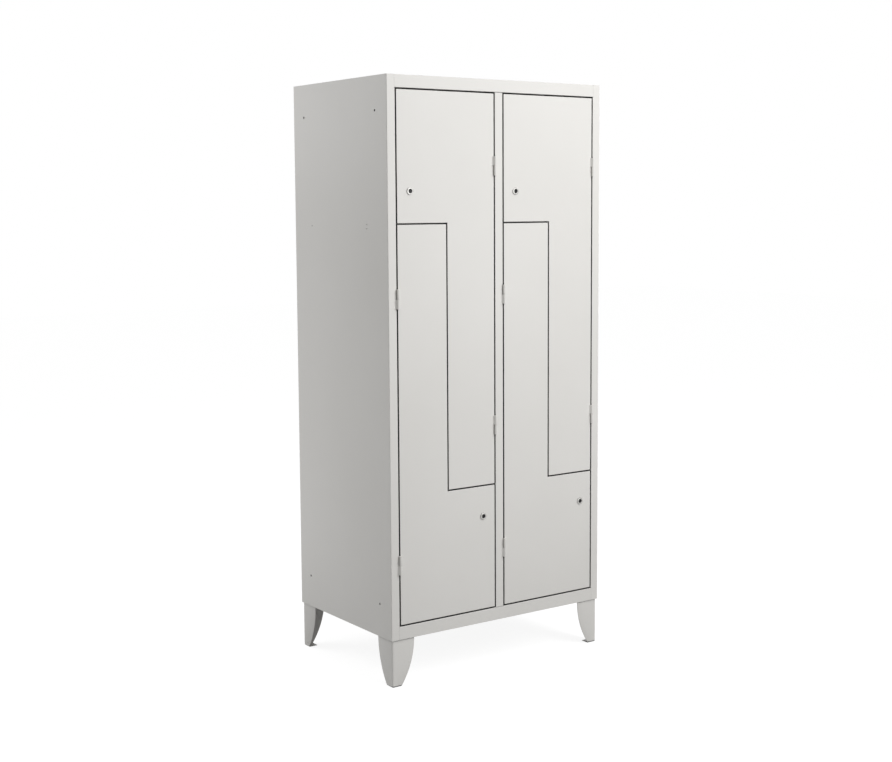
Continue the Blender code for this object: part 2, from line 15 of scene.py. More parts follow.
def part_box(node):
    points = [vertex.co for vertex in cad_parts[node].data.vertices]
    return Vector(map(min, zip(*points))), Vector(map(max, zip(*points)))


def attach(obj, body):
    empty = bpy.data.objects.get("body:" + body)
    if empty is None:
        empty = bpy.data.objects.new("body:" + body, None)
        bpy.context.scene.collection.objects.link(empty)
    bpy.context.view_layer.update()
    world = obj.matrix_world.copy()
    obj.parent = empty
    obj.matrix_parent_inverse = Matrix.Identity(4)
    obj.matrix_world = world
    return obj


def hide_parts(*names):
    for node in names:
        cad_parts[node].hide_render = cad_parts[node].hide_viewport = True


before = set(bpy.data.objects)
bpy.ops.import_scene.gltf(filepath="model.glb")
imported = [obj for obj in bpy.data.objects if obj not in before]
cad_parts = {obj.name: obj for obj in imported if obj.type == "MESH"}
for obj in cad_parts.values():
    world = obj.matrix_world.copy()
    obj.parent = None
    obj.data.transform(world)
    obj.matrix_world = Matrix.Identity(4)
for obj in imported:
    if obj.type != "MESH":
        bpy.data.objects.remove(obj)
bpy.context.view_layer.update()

bl_info = {
    "name": "Z locker pieces",
    "version": (1, 0, 0),
    "blender": (4, 5, 0),
    "location": "View3D > Sidebar > Locker",
    "description": "Builds the fine pieces and finishes of a two-column Z locker",
    "category": "Add Mesh",
}

IMAGE_WIDTH = 892


def corners_of(node):
    """The lowest and the highest corner of a node of the frame, as arrays."""
    low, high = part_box(node)
    return np.array(low), np.array(high)


# Planes and levels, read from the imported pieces
SIDE_LOW, SIDE_HIGH = corners_of("left_side_panel")
TOP_LOW, TOP_HIGH = corners_of("top_panel")
PLUG_LOW, PLUG_HIGH = corners_of("left_upper_lock_plug")
LEFT, FRONT, BODY_BOTTOM = SIDE_LOW
RIGHT = -LEFT
BACK, HEIGHT = SIDE_HIGH[1:]
SIDE_STILE = SIDE_HIGH[0] - LEFT
CENTRE_HALF = corners_of("centre_stile")[1][0]
CEILING = TOP_LOW[2]
FLOOR = corners_of("base_panel")[1][2]
BACK_FACE = corners_of("back_panel")[1][1]
INNER_LEFT, INNER_BACK = TOP_LOW[0], TOP_HIGH[1]
INNER_FRONT = corners_of("left_upper_shelf")[0][1]
UPPER_LEVEL = corners_of("left_upper_shelf")[1][2]
LOWER_LEVEL = corners_of("left_lower_shelf")[1][2]
COLUMNS = {
    "left": (LEFT + SIDE_STILE, -CENTRE_HALF),
    "right": (CENTRE_HALF, RIGHT - SIDE_STILE),
}
DOORS = [column + "_" + level for column in COLUMNS for level in ("upper", "lower")]
SIDES = {"left": 1, "right": -1}

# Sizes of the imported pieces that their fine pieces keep
FIT = 0.0003
FLANGE = 0.020
PARTITION_FLANGE = 0.015
HAT_FOOT = 0.012
HOLE_FROM_END, HOLE_FROM_EDGE = 0.100, 0.064
RAIL_BEND = 0.014
LEAF_THICKNESS, LEAF_REACH = 0.0015, 0.014
SLEEVE_PLAY = 0.0004
BORE = 0.0065
BARREL_LENGTH = 0.0195
BARREL_FLAT = 0.0009
PLUG_RADIUS = PLUG_HIGH[0] - (PLUG_LOW[0] + PLUG_HIGH[0]) / 2
PLUG_SET_BACK = 0.0006
KEYHOLE_WIDTH, KEYHOLE_HEIGHT, KEYHOLE_DEPTH = 0.002, 0.008, 0.010
STUB_HALF, STUB_LENGTH = 0.0032, 0.0065

# Sizes of what only these fine pieces have
HOLE_DISH, HOLE_DISH_WIDTH = 0.0006, 0.0012
MARK_FROM_FRONT, MARK_DROPS, MARK_WELD_FROM_BACK = 0.113, (0.0025, 0.0145), 0.105
SEAM_FROM_EDGE = 0.011
EASED_EDGE = 0.0004
NUT_FRONT, NUT_BACK, NUT_HALF = -0.0017, -0.0053, 0.0122
SCREW_SEAT = -0.0263
WASHER_RADIUS, WASHER_HEIGHT, SCREW_RADIUS = 0.0066, 0.0009, 0.0050
SHARP_ANGLE = math.radians(32)
RING_START = math.radians(-135)


def length_of(label, about, usual, low, high=50.0):
    """A setting for a length, in metres."""
    return FloatProperty(name=label, description=about, default=usual, min=low, max=high,
                         unit="LENGTH")


def steps_of(label, about, usual, low, high):
    """A setting for a number of facets."""
    return IntProperty(name=label, description=about, default=usual, min=low, max=high)


def colour_of(label, about, usual):
    """A setting for a linear colour."""
    return FloatVectorProperty(name=label, description=about, default=usual, size=3, min=0.0,
                               max=1.0, subtype="COLOR")


def place_of(label, about, usual):
    """A setting for a place, in metres."""
    return FloatVectorProperty(name=label, description=about, default=usual, size=3,
                               subtype="TRANSLATION", unit="LENGTH")


def angle_of(label, about, degrees):
    """A setting for an angle, given in degrees."""
    return FloatProperty(name=label, description=about, default=math.radians(degrees),
                         subtype="ANGLE", unit="ROTATION")


def power_of(label, about, watts):
    """A setting for a lamp's power."""
    return FloatProperty(name=label, description=about, default=watts, min=0.0, unit="POWER")


def share_of(label, about, usual):
    """A setting for a share, from none to all."""
    return FloatProperty(name=label, description=about, default=usual, min=0.0, max=1.0)


class LockerSheet(bpy.types.PropertyGroup):
    """Sizes of the folded sheet."""

    thickness: length_of(
        "Thickness", "Thickness of the body's and the doors' sheet", 0.001, 0.0005, 0.003)
    fold_radius: length_of(
        "Fold radius", "Outer radius of the body's folds", 0.0025, 0.0015, 0.006)
    door_fold_radius: length_of(
        "Door fold radius", "Outer radius of the doors' folds", 0.0018, 0.0012, 0.004)
    fold_steps: steps_of("Fold steps", "Facets round each fold", 8, 3, 24)
    border: length_of(
        "Border", "Narrow strip beside each fold that keeps the flats flat",
        0.0004, 0.0001, 0.002)
    stile_return: length_of(
        "Stile return", "Depth of the stiles and the top rail", 0.020, 0.010, 0.040)
    lip: length_of("Lip", "Width of the lips of stiles and doors", 0.010, 0.005, 0.020)
    door_return: length_of("Door return", "Depth of the door pans", 0.018, 0.010, 0.030)
    door_gap: length_of("Door gap", "Even gap round each door", 0.0035, 0.002, 0.006)
    mitre_gap: length_of(
        "Mitre gap", "Half of the open slit between two lips at a corner", 0.0004, 0.0, 0.002)
    shelf_flange: length_of(
        "Shelf flange", "Depth of the shelves' folded edges", 0.016, 0.008, 0.030)
    weld_radius: length_of(
        "Weld spot radius", "Radius of a spot weld's shallow dimple", 0.0042, 0.002, 0.008)
    weld_depth: length_of(
        "Weld spot depth", "Depth of a spot weld's dimple", 0.00035, 0.0, 0.001)
    dash_width: length_of(
        "Dash width", "Width of the two pressed dashes that hold a shelf's end",
        0.014, 0.004, 0.03)
    dash_height: length_of("Dash height", "Height of each pressed dash", 0.0042, 0.001, 0.01)
    dash_depth: length_of("Dash depth", "Depth of each pressed dash", 0.0020, 0.0, 0.004)
    hole_radius: length_of(
        "Joining hole radius", "Radius of the holes that join two lockers",
        0.0026, 0.001, 0.006)
    leg_thickness: length_of(
        "Leg thickness", "Thickness of the pressed legs", 0.002, 0.001, 0.004)
    leg_top: length_of(
        "Leg width at the top", "Width of each leg flange under the body", 0.078, 0.05, 0.12)
    leg_foot: length_of(
        "Leg width at the foot", "Width of each leg flange at the floor", 0.031, 0.02, 0.06)
    leg_fold: length_of(
        "Leg fold radius", "Outer radius of the legs' folds", 0.005, 0.003, 0.012)


class LockerFittings(bpy.types.PropertyGroup):
    """Sizes of hinges, locks, coat rails and fasteners."""

    knuckle_radius: length_of(
        "Knuckle radius", "Radius of the hinge barrels", 0.0045, 0.003, 0.008)
    pin_radius: length_of("Pin radius", "Radius of the hinge pins", 0.0022, 0.001, 0.004)
    knuckle_round: length_of(
        "Knuckle rounding", "Rounding at the ends of each knuckle", 0.0008, 0.0001, 0.002)
    head_radius: length_of("Lock head radius", "Radius of the lock heads", 0.011, 0.008, 0.016)
    head_height: length_of(
        "Lock head height", "How far the lock heads stand proud of the doors",
        0.0032, 0.001, 0.006)
    barrel_radius: length_of(
        "Lock barrel radius", "Radius of the threaded barrels over the thread",
        0.009, 0.006, 0.012)
    plug_dish: length_of("Plug dish", "Depth of the dish in the plugs' faces", 0.0022, 0.0, 0.006)
    thread_pitch: length_of("Thread pitch", "Pitch of the barrels' thread", 0.0012, 0.0005, 0.003)
    rail_radius: length_of(
        "Coat rail radius", "Radius of the coat rails' round bar", 0.004, 0.002, 0.008)
    turned_steps: steps_of("Turned steps", "Facets round each turned piece", 48, 12, 128)


class LockerFinish(bpy.types.PropertyGroup):
    """Colours of the finishes."""

    paint: colour_of("Powder coat", "Light grey of the powder coat", (0.712, 0.70, 0.675))
    paint_shade: colour_of(
        "Powder coat shade", "The powder coat's slightly darker, warmer clouds",
        (0.682, 0.670, 0.643))
    zinc: colour_of("Zinc", "Zinc plate", (0.62, 0.63, 0.64))
    zinc_tint: colour_of("Zinc tint", "Passivated clouds on the zinc plate", (0.50, 0.50, 0.44))
    chrome: colour_of("Chrome", "Satin chrome on the locks", (0.43, 0.425, 0.41))
    chrome_tint: colour_of(
        "Chrome haze", "Handling haze on the chrome plate", (0.35, 0.345, 0.33))
    # Black nickel in the plugs' dishes, this dark partly as painted shade in the dish
    nickel: colour_of(
        "Black nickel", "Black nickel in the dished faces of the plugs", (0.030, 0.030, 0.032))
    nickel_tint: colour_of("Nickel haze", "Worn clouds on the black nickel", (0.055, 0.054, 0.052))
    # Near-black keyway brass: partly painted shade inside the keyholes
    brass: colour_of("Keyway", "Dark oiled brass inside the keyholes", (0.035, 0.030, 0.022))
    brass_tint: colour_of("Keyway oil", "Oil on the keyholes' brass", (0.012, 0.011, 0.010))
    # Painted shade: the near-black colour that the coat takes in the gaps and seams, and the reach
    # that sets where
    gap_shade: colour_of(
        "Crevices", "Thin, dusty coat deep in the gaps and seams", (0.010, 0.010, 0.010))
    gap_shade_reach: length_of(
        "Crevice reach", "How near another surface is where the coat is in a crevice",
        0.006, 0.001, 0.02)


class LockerStudio(bpy.types.PropertyGroup):
    """Camera, lamps and floor."""

    camera_place: place_of(
        "Camera place", "Where the camera stands", (-2.6557, -3.7705, 1.4267))
    camera_yaw: angle_of(
        "Camera yaw", "Turn of the camera from straight ahead to the right", 35.031)
    camera_pitch: angle_of("Camera pitch", "Tilt of the camera above the horizon", -5.885)
    camera_roll: angle_of("Camera roll", "Roll of the camera about its axis", -0.346)
    focal_pixels: FloatProperty(
        name="Focal length in pixels", description="Focal length over the width of one pixel",
        default=1446.1, min=100.0)
    shift_up: FloatProperty(
        name="Lens shift", description="Vertical shift of the lens", default=-0.03)
    key_place: place_of(
        "Key lamp place", "High in front of the doors, a little to the right", (0.9, -2.2, 3.0))
    key_power: power_of("Key lamp power", "Power of the lamp high in front", 36.0)
    front_place: place_of("Front lamp place", "Straight in front of the doors", (0.6, -2.6, 1.5))
    front_power: power_of("Front lamp power", "Power of the lamp straight in front", 26.5)
    rear_place: place_of("Rear lamp place", "Behind the locker's left side", (-1.8, 1.6, 2.2))
    rear_power: power_of("Rear lamp power", "Power of the lamp behind the left side", 17.5)
    low_place: place_of(
        "Low lamp place", "Low beside the rear of the left side", (-1.0, 0.8, 0.3))
    low_power: power_of("Low lamp power", "Power of the low lamp", 3.5)
    lamp_size: length_of("Lamp size", "Width of each square lamp", 1.6, 0.1)
    aim_height: length_of("Aim height", "Height of the point that the lamps face", 1.0, 0.0)
    sky_strength: share_of("Sky strength", "Even light from all round", 0.45)
    floor_grey: share_of("Floor grey", "How much light the floor returns", 0.28)
    floor_glow: share_of("Floor glow", "Brightness that the floor shows by itself", 0.87)
    floor_size: length_of("Floor size", "Width of the floor", 30.0, 2.0)


# Shapes

def union(values):
    """Sorted line positions without repeats."""
    return np.unique(np.round(np.asarray(values, float), 7))


def quads(index):
    """Four-sided faces between the neighbours of a grid of vertex numbers."""
    return np.stack((index[:-1, :-1], index[1:, :-1], index[1:, 1:], index[:-1, 1:]), -1)


def flipped(faces, mirror):
    """The faces, turned round where the shape is mirrored."""
    return [face[::-1] for face in faces] if mirror < 0 else faces


class FoldedLine:
    """A line with rounded corners, seen end on, as stations along its outer side.

    Each station has its length along the line, its place and the direction
    that points outwards. On an arc the direction turns evenly from one leg's to
    the next one's, and the place is the arc's centre plus the radius times it.
    """

    def __init__(self, corners, radius, thickness, steps, border, side=1):
        corners = np.asarray(corners, float)
        legs = np.diff(corners, axis=0)
        along = legs / np.linalg.norm(legs, axis=1, keepdims=True)
        out = side * np.stack((along[:, 1], -along[:, 0]), axis=1)
        places = [corners[:1]]
        normals = [out[:1]]
        for k in range(1, len(legs)):
            turn = along[k - 1, 0] * along[k, 1] - along[k - 1, 1] * along[k, 0]
            convex = 1 if turn * side > 0 else -1
            arc = radius if convex > 0 else radius - thickness
            opening = 1 + out[k - 1] @ out[k]
            centre = corners[k] - convex * arc * (out[k - 1] + out[k]) / opening
            whole = math.acos(np.clip(opening - 1, -1, 1))
            share = np.linspace(0, 1, steps + 1)[:, None] * whole
            swung = (np.sin(whole - share) * out[k - 1] + np.sin(share) * out[k]) / math.sin(whole)
            arc_places = centre + convex * arc * swung
            places += [arc_places[:1] - border * along[k - 1], arc_places,
                       arc_places[-1:] + border * along[k]]
            normals += [out[k - 1:k], swung, out[k:k + 1]]
        self.places = np.vstack(places + [corners[-1:]])
        self.normals = np.vstack(normals + [out[-1:]])
        lengths = np.linalg.norm(np.diff(self.places, axis=0), axis=1)
        self.lengths = np.concatenate(([0], np.cumsum(lengths)))

    def spread(self, length, depth):
        """Places at a length along the line and a depth under its outer side."""
        place, out = (np.stack([np.interp(length, self.lengths, rows[:, k]) for k in (0, 1)], -1)
                      for rows in (self.places, self.normals))
        out /= np.linalg.norm(out, axis=-1, keepdims=True)
        return place - out * np.asarray(depth)[..., None]

    def length_at(self, place):
        """The length along the line of the station nearest to a place on it."""
        starts, ends = self.places[:-1], self.places[1:]
        steps = ends - starts
        share = np.sum((place - starts) * steps, axis=1) / np.sum(steps * steps, axis=1)
        share = np.clip(share, 0, 1)
        far = np.linalg.norm(starts + share[:, None] * steps - place, axis=1)
        best = int(np.argmin(far))
        return self.lengths[best] + share[best] * (self.lengths[best + 1] - self.lengths[best])


class Spot:
    """A round or oval feature of a sheet: rings of radius and depth, the last one open or closed.

    wide is how many times wider the rings are along the sheet's line than across
    it. The feature stands in a rectangle that reaches half across.
    """

    def __init__(self, s, t, half, rings, open_hole=False, wide=1.0):
        self.s, self.t, self.wide = s, t, wide
        self.reach = (half * wide, half)
        self.edges = [(middle - reach, middle + reach)
                      for middle, reach in zip((s, t), self.reach)]
        self.rings, self.open_hole = rings, open_hole


def edges_of(spots, axis):
    """Where the spots' rectangles begin and end along one axis of the sheet."""
    return [edge for spot in spots for edge in spot.edges[axis]]


def cosine_fall(share):
    """None at a share of 0 and all at 1, along a cosine."""
    return (1 - np.cos(np.pi * share)) / 2


def dimple(s, t, radius, depth, half, wide=1.0):
    """A closed dimple whose depth follows a cosine from its rim to its middle."""
    share = np.linspace(0, 1, 6)[:-1]
    rings = list(zip(radius * (1 - share), depth * cosine_fall(share)))
    return Spot(s, t, half, rings, wide=wide)


def pressed_dash(s, t, sizes):
    """A short groove: an oval dimple."""
    return dimple(s, t, sizes.dash_height / 2, sizes.dash_depth, 0.65 * sizes.dash_height,
                  sizes.dash_width / sizes.dash_height)


def welds(line, places, heights, sizes):
    """Spot welds at places of a folded line, seen end on, at each of the heights along it."""
    return [dimple(line.length_at(place), height, sizes.weld_radius, sizes.weld_depth,
                   1.35 * sizes.weld_radius)
            for height in heights for place in places]


def round_hole(s, t, radius, dish=0.0, dish_width=0.0):
    """A round hole, with a shallow dish round it where one is asked for."""
    share = np.linspace(0, 1, 5)
    rings = (list(zip(radius + dish_width * (1 - share), dish * cosine_fall(share)))
             if dish else [(radius, 0.0)])
    return Spot(s, t, 1.6 * (radius + dish_width), rings, True)


def blank(s_lines, t_lines, keep, spots, ring_steps=32):
    """A flat pattern: the cells between lines where keep holds, with ring patches at the spots.

    A ring's points are the spot's middle plus its radius times the cosine and
    sine of evenly spaced angles; four many-sided faces join it to its rectangle.
    """
    s_lines = union(list(s_lines) + edges_of(spots, 0))
    t_lines = union(list(t_lines) + edges_of(spots, 1))
    s_grid, t_grid = np.meshgrid(s_lines, t_lines, indexing="ij")
    points = [np.stack((s_grid.ravel(), t_grid.ravel(), np.zeros(s_grid.size)), 1)]
    index = np.arange(s_grid.size).reshape(s_grid.shape)
    middle_s, middle_t = np.meshgrid((s_lines[1:] + s_lines[:-1]) / 2,
                                     (t_lines[1:] + t_lines[:-1]) / 2, indexing="ij")
    kept = keep(middle_s, middle_t)
    for spot in spots:
        kept &= ((abs(middle_s - spot.s) > spot.reach[0])
                 | (abs(middle_t - spot.t) > spot.reach[1]))
    faces = quads(index)[kept].tolist()
    angles = RING_START + math.tau * np.arange(ring_steps) / ring_steps
    quarter = ring_steps // 4
    count = s_grid.size
    for spot in spots:
        (i0, i1), (j0, j1) = (np.searchsorted(lines, np.array(edges) - 1e-6)
                              for lines, edges in zip((s_lines, t_lines), spot.edges))
        sides = [index[i0:i1 + 1, j0], index[i1, j0:j1 + 1],
                 index[i0:i1 + 1, j1][::-1], index[i0, j0:j1 + 1][::-1]]
        rings = []
        for radius, depth in spot.rings:
            points.append(np.stack((spot.s + spot.wide * radius * np.cos(angles),
                                    spot.t + radius * np.sin(angles),
                                    np.full(ring_steps, depth)), 1))
            rings.append(count + np.arange(ring_steps))
            count += ring_steps
        for k, side in enumerate(sides):
            arc = np.take(rings[0], np.arange(k * quarter, (k + 1) * quarter + 1), mode="wrap")
            faces.append(side.tolist() + arc[::-1].tolist())
        for outer, inner in zip(rings, rings[1:]):
            faces += np.stack((outer, np.roll(outer, -1), np.roll(inner, -1), inner), 1).tolist()
        if not spot.open_hole:
            faces.append(rings[-1].tolist())
    return np.vstack(points), faces


def walled(outer, inner, faces):
    """A closed shell: an outer surface, its inner twin and the rims between their free edges."""
    both, back = np.unique(np.round(np.hstack((outer, inner)), 7), axis=0, return_inverse=True)
    back = back.ravel()
    faces = [[int(back[v]) for v in face] for face in faces]
    faces = [[v for k, v in enumerate(face) if v != face[k - 1]] for face in faces]
    faces = [face for face in faces if len(face) > 2]
    starts = np.concatenate([np.array(face) for face in faces])
    ends = np.concatenate([np.roll(face, -1) for face in faces])
    total = len(both)
    free = ~np.isin(starts * total + ends, ends * total + starts)
    rims = np.stack((ends[free], starts[free], starts[free] + total, ends[free] + total), 1)
    shell = faces + [[v + total for v in reversed(face)] for face in faces] + rims.tolist()
    return np.vstack((both[:, :3], both[:, 3:])), shell


def folded_sheet(line, low, high, thickness, spots=(), lines=(), marks=(), keep=None,
                 upright=True, mirror=1):
    """A sheet folded along a line and carried from low to high, up Z or across X.

    The surface is the line's place at its first parameter, moved straight by the second.
    """
    def place(s, t, depth):
        flat = line.spread(s, depth)
        if upright:
            return np.stack((mirror * flat[..., 0], flat[..., 1], t), -1)
        return np.stack((t, flat[..., 0], flat[..., 1]), -1)

    def kept(s, t):
        return keep(place(s, t, np.zeros_like(s))) if keep else np.ones(s.shape, bool)

    points, faces = blank([*line.lengths, *lines], [low, high, *marks], kept, spots)
    s, t, depth = points.T
    verts, shell = walled(place(s, t, depth), place(s, t, depth + thickness), faces)
    return verts, flipped(shell, mirror)


def inside(outline, u, v):
    """Where points lie inside an outline, by counting the edges that a ray crosses."""
    odd = np.zeros(u.shape, bool)
    for (u0, v0), (u1, v1) in zip(outline, np.roll(outline, -1, axis=0)):
        if v0 != v1:
            crosses = (v0 > v) != (v1 > v)
            odd ^= crosses & (u < u0 + (v - v0) * (u1 - u0) / (v1 - v0))
    return odd


def pan(outline, section, thickness, slit_from, slit, place, spots=()):
    """A sheet folded down on every side of an outline with square corners.

    The section, as inset and depth, is carried along each edge. At a corner its
    ends follow the mitre line, and past a depth of slit_from they draw back by slit.
    """
    outline = np.asarray(outline, float)
    edges = np.roll(outline, -1, axis=0) - outline
    spans = np.linalg.norm(edges, axis=1)
    along = edges / spans[:, None]
    inward = np.stack((-along[:, 1], along[:, 0]), 1)
    inset = section.places[0, 0]
    inner_outline = outline + inset * (inward + np.roll(inward, 1, axis=0))
    cuts = [union(list(inner_outline[:, k]) + edges_of(spots, k)) for k in (0, 1)]
    flat, faces = blank(*cuts, lambda u, v: inside(inner_outline, u, v), spots)
    outer = [place(flat[:, 0], flat[:, 1], flat[:, 2])]
    inner = [place(flat[:, 0], flat[:, 1], flat[:, 2] + thickness)]
    count = len(flat)
    shells = [(section.places, outer), (section.places - thickness * section.normals, inner)]
    drawn = slit * np.clip((section.places[:, 1] - slit_from) / 0.0002, 0, 1)
    for k in range(len(outline)):
        after = (k + 1) % len(outline)
        start_turn, end_turn = inward[k - 1] @ along[k], inward[after] @ along[k]
        axis = 0 if abs(along[k, 0]) > 0.5 else 1
        ends = np.sort([inner_outline[k, axis], inner_outline[after, axis]])
        crossings = cuts[axis]
        crossings = crossings[(crossings > ends[0] + 1e-6) & (crossings < ends[1] - 1e-6)]
        steps = np.sort((crossings - outline[k, axis]) * along[k, axis])
        for places, shell in shells:
            reach = np.hstack((places[:, :1] * start_turn + drawn[:, None],
                               np.repeat(steps[None], len(places), axis=0),
                               spans[k] + places[:, :1] * end_turn - drawn[:, None]))
            flat_places = (outline[k] + reach[..., None] * along[k]
                           + places[:, None, :1] * inward[k])
            depth = np.repeat(places[:, 1:], reach.shape[1], axis=1)
            shell.append(place(flat_places[..., 0].ravel(), flat_places[..., 1].ravel(),
                               depth.ravel()))
        index = count + np.arange(reach.size).reshape(reach.shape)
        count += reach.size
        # The first corner sets the diagonal that splits a face that isn't flat
        faces += np.roll(quads(index), 1, axis=-1).reshape(-1, 4).tolist()
    return walled(np.vstack(outer), np.vstack(inner), faces)


def turned(profile, steps, squeeze=None):
    """A profile of radius and height, which runs down on the outside, turned about Z.

    The point at an angle and a station is the radius times the cosine and the
    sine of the angle, at the station's height. squeeze may change the radius
    with the angle and the height, as for a thread or a hexagon.
    """
    profile = np.asarray(profile, float)
    angle = math.tau * np.arange(steps)[:, None] / steps
    radius, height = (np.repeat(profile[None, :, k], steps, axis=0) for k in (0, 1))
    if squeeze is not None:
        radius = squeeze(radius, angle, height)
    verts = np.stack((radius * np.cos(angle), radius * np.sin(angle), height), -1)
    index = np.arange(radius.size).reshape(radius.shape)
    after = np.roll(index, -1, axis=0)
    faces = np.stack((index[:, 1:], after[:, 1:], after[:, :-1], index[:, :-1]), -1)
    return verts.reshape(-1, 3), faces.reshape(-1, 4).tolist()


def curve(start, bend, end, steps):
    """A quadratic curve from start to end, drawn towards the bend."""
    share = np.linspace(0, 1, steps)[:, None]
    return (1 - share) ** 2 * start + 2 * share * (1 - share) * bend + share ** 2 * end


def rounded(profile, radius, steps=4):
    """A profile of radius and height with its inner corners rounded."""
    profile = np.asarray(profile, float)
    points = [profile[:1]]
    for before, corner, after in zip(profile, profile[1:], profile[2:]):
        back, ahead = before - corner, after - corner
        back_length, ahead_length = np.linalg.norm(back), np.linalg.norm(ahead)
        reach = min(radius, 0.45 * back_length, 0.45 * ahead_length)
        points.append(curve(corner + back / back_length * reach, corner,
                            corner + ahead / ahead_length * reach, steps + 1))
    return np.vstack(points + [profile[-1:]])


def stacked(*shapes):
    """Several meshes as one."""
    verts, faces, count = [], [], 0
    for shape_verts, shape_faces in shapes:
        verts.append(shape_verts)
        faces += [[v + count for v in face] for face in shape_faces]
        count += len(shape_verts)
    return np.vstack(verts), faces


def facing_front(shape, place):
    """A shape turned about Z, laid down so that its top faces the front, and moved to a place."""
    verts, faces = shape
    return np.stack((verts[:, 0], -verts[:, 2], verts[:, 1]), -1) + place, faces


def rounded_box(low, high, radius, steps=3):
    """A box with rounded edges.

    Each face's grid is pulled onto the box shrunk by the radius, and pushed out
    by the radius along what is left.
    """
    low, high = np.asarray(low, float), np.asarray(high, float)
    middle, half = (low + high) / 2, (high - low) / 2
    radius = min(radius, 0.98 * half.min())
    rise = radius * np.tan(np.linspace(0, math.pi / 4, steps + 1))
    verts, faces, count = [], [], 0
    for axis in range(3):
        around = [(axis + 1) % 3, (axis + 2) % 3]
        lines = [np.concatenate((-(half[k] - radius + rise)[::-1], half[k] - radius + rise))
                 for k in around]
        for sign in (-1, 1):
            a, b = np.meshgrid(*lines, indexing="ij")
            grid = np.zeros(a.shape + (3,))
            grid[..., axis], grid[..., around[0]], grid[..., around[1]] = sign * half[axis], a, b
            core = np.clip(grid, radius - half, half - radius)
            out = grid - core
            out /= np.maximum(np.linalg.norm(out, axis=-1, keepdims=True), 1e-12)
            verts.append((core + radius * out + middle).reshape(-1, 3))
            index = count + np.arange(a.size).reshape(a.shape)
            faces += flipped(quads(index).reshape(-1, 4).tolist(), sign)
            count += a.size
    return np.vstack(verts), faces


def prism(section, low, high):
    """A section in the XY plane carried straight up Z from low to high."""
    after = np.roll(section, -1, axis=0)
    if np.sum(section[:, 0] * after[:, 1] - section[:, 1] * after[:, 0]) < 0:
        section = section[::-1]
    count = len(section)
    verts = np.vstack([np.column_stack((section, np.full(count, z))) for z in (low, high)])
    row = np.arange(count)
    ahead = np.roll(row, -1)
    walls = np.stack((row, ahead, ahead + count, row + count), 1).tolist()
    return verts, walls + [row[::-1].tolist(), (row + count).tolist()]


def bent_bar(path, radius, steps=24):
    """A round bar carried along a path in the XZ plane: each ring lies across the path."""
    along = np.gradient(path, axis=0)
    along /= np.linalg.norm(along, axis=1, keepdims=True)
    across = np.stack((-along[:, 1], along[:, 0]), 1)
    angle = math.tau * np.arange(steps) / steps
    offset = radius[:, None] * np.cos(angle)
    x, z = (path[:, k:k + 1] + across[:, k:k + 1] * offset for k in (0, 1))
    y = radius[:, None] * np.sin(angle)
    index = np.arange(x.size).reshape(x.shape)
    after = np.roll(index, -1, axis=1)
    faces = np.stack((index[1:], after[1:], after[:-1], index[:-1]), -1).reshape(-1, 4).tolist()
    faces += [index[0].tolist(), index[-1, ::-1].tolist()]
    return np.stack((x, y, z), -1).reshape(-1, 3), faces


def new_piece(name, shape, finish, nodes=(), body="cabinet"):
    """Put a mesh into the scene with its finish, the nodes it stands for and its body."""
    verts, faces = shape
    mesh = bpy.data.meshes.new(name)
    mesh.from_pydata(np.asarray(verts, float).tolist(), [], faces)
    builder = bmesh.new()
    builder.from_mesh(mesh)
    bmesh.ops.remove_doubles(builder, verts=builder.verts, dist=1e-7)
    loose = [vert for vert in builder.verts if not vert.link_faces]
    bmesh.ops.delete(builder, geom=loose, context="VERTS")
    builder.to_mesh(mesh)
    builder.free()
    mesh.validate()
    mesh.shade_smooth()
    mesh.set_sharp_from_angle(angle=SHARP_ANGLE)
    piece = bpy.data.objects.new(name, mesh)
    bpy.context.scene.collection.objects.link(piece)
    mesh.materials.append(finish)
    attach(piece, body)
    if nodes:
        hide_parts(*nodes)
    return piece


# Finishes

def node(tree, kind, **values):
    """A shader node whose values are set or fed.

    A name with a capital is a socket, which takes a value or the output that feeds
    it, and any other name is the node's own setting.
    """
    made = tree.nodes.new("ShaderNode" + kind)
    for key, value in values.items():
        if not key[0].isupper():
            setattr(made, key, value)
        else:
            feed(tree, value, made.inputs[key.replace("_", " ")])
    return made


def feed(tree, value, socket):
    """Link an output to a socket, or set the socket's value."""
    if isinstance(value, bpy.types.NodeSocket):
        tree.links.new(value, socket)
    else:
        socket.default_value = value


def noise(tree, vector, scale, detail):
    """A noise texture on a vector."""
    return node(tree, "TexNoise", Vector=vector, Scale=scale, Detail=detail).outputs["Fac"]


def maths(tree, operation, first, second):
    """A maths node on sockets or numbers."""
    made = node(tree, "Math", operation=operation)
    feed(tree, first, made.inputs[0])
    feed(tree, second, made.inputs[1])
    return made.outputs[0]


def blended(tree, first, first_share, second, second_share):
    """Two values, each times its share, added up."""
    return maths(tree, "ADD", maths(tree, "MULTIPLY", first, first_share),
                 maths(tree, "MULTIPLY", second, second_share))


def ranged(tree, value, low, high, from_low=0.3, from_high=0.7, how="LINEAR"):
    """A value mapped to a range, for roughness and masks."""
    return node(tree, "MapRange", interpolation_type=how, Value=value, From_Min=from_low,
                From_Max=from_high, To_Min=low, To_Max=high).outputs["Result"]


def mixed(tree, share, first, second):
    """Two colours mixed by a share of the second."""
    made = node(tree, "Mix", data_type="RGBA")
    for k, value in ((0, share), (6, first), (7, second)):
        feed(tree, value, made.inputs[k])
    return made.outputs[2]


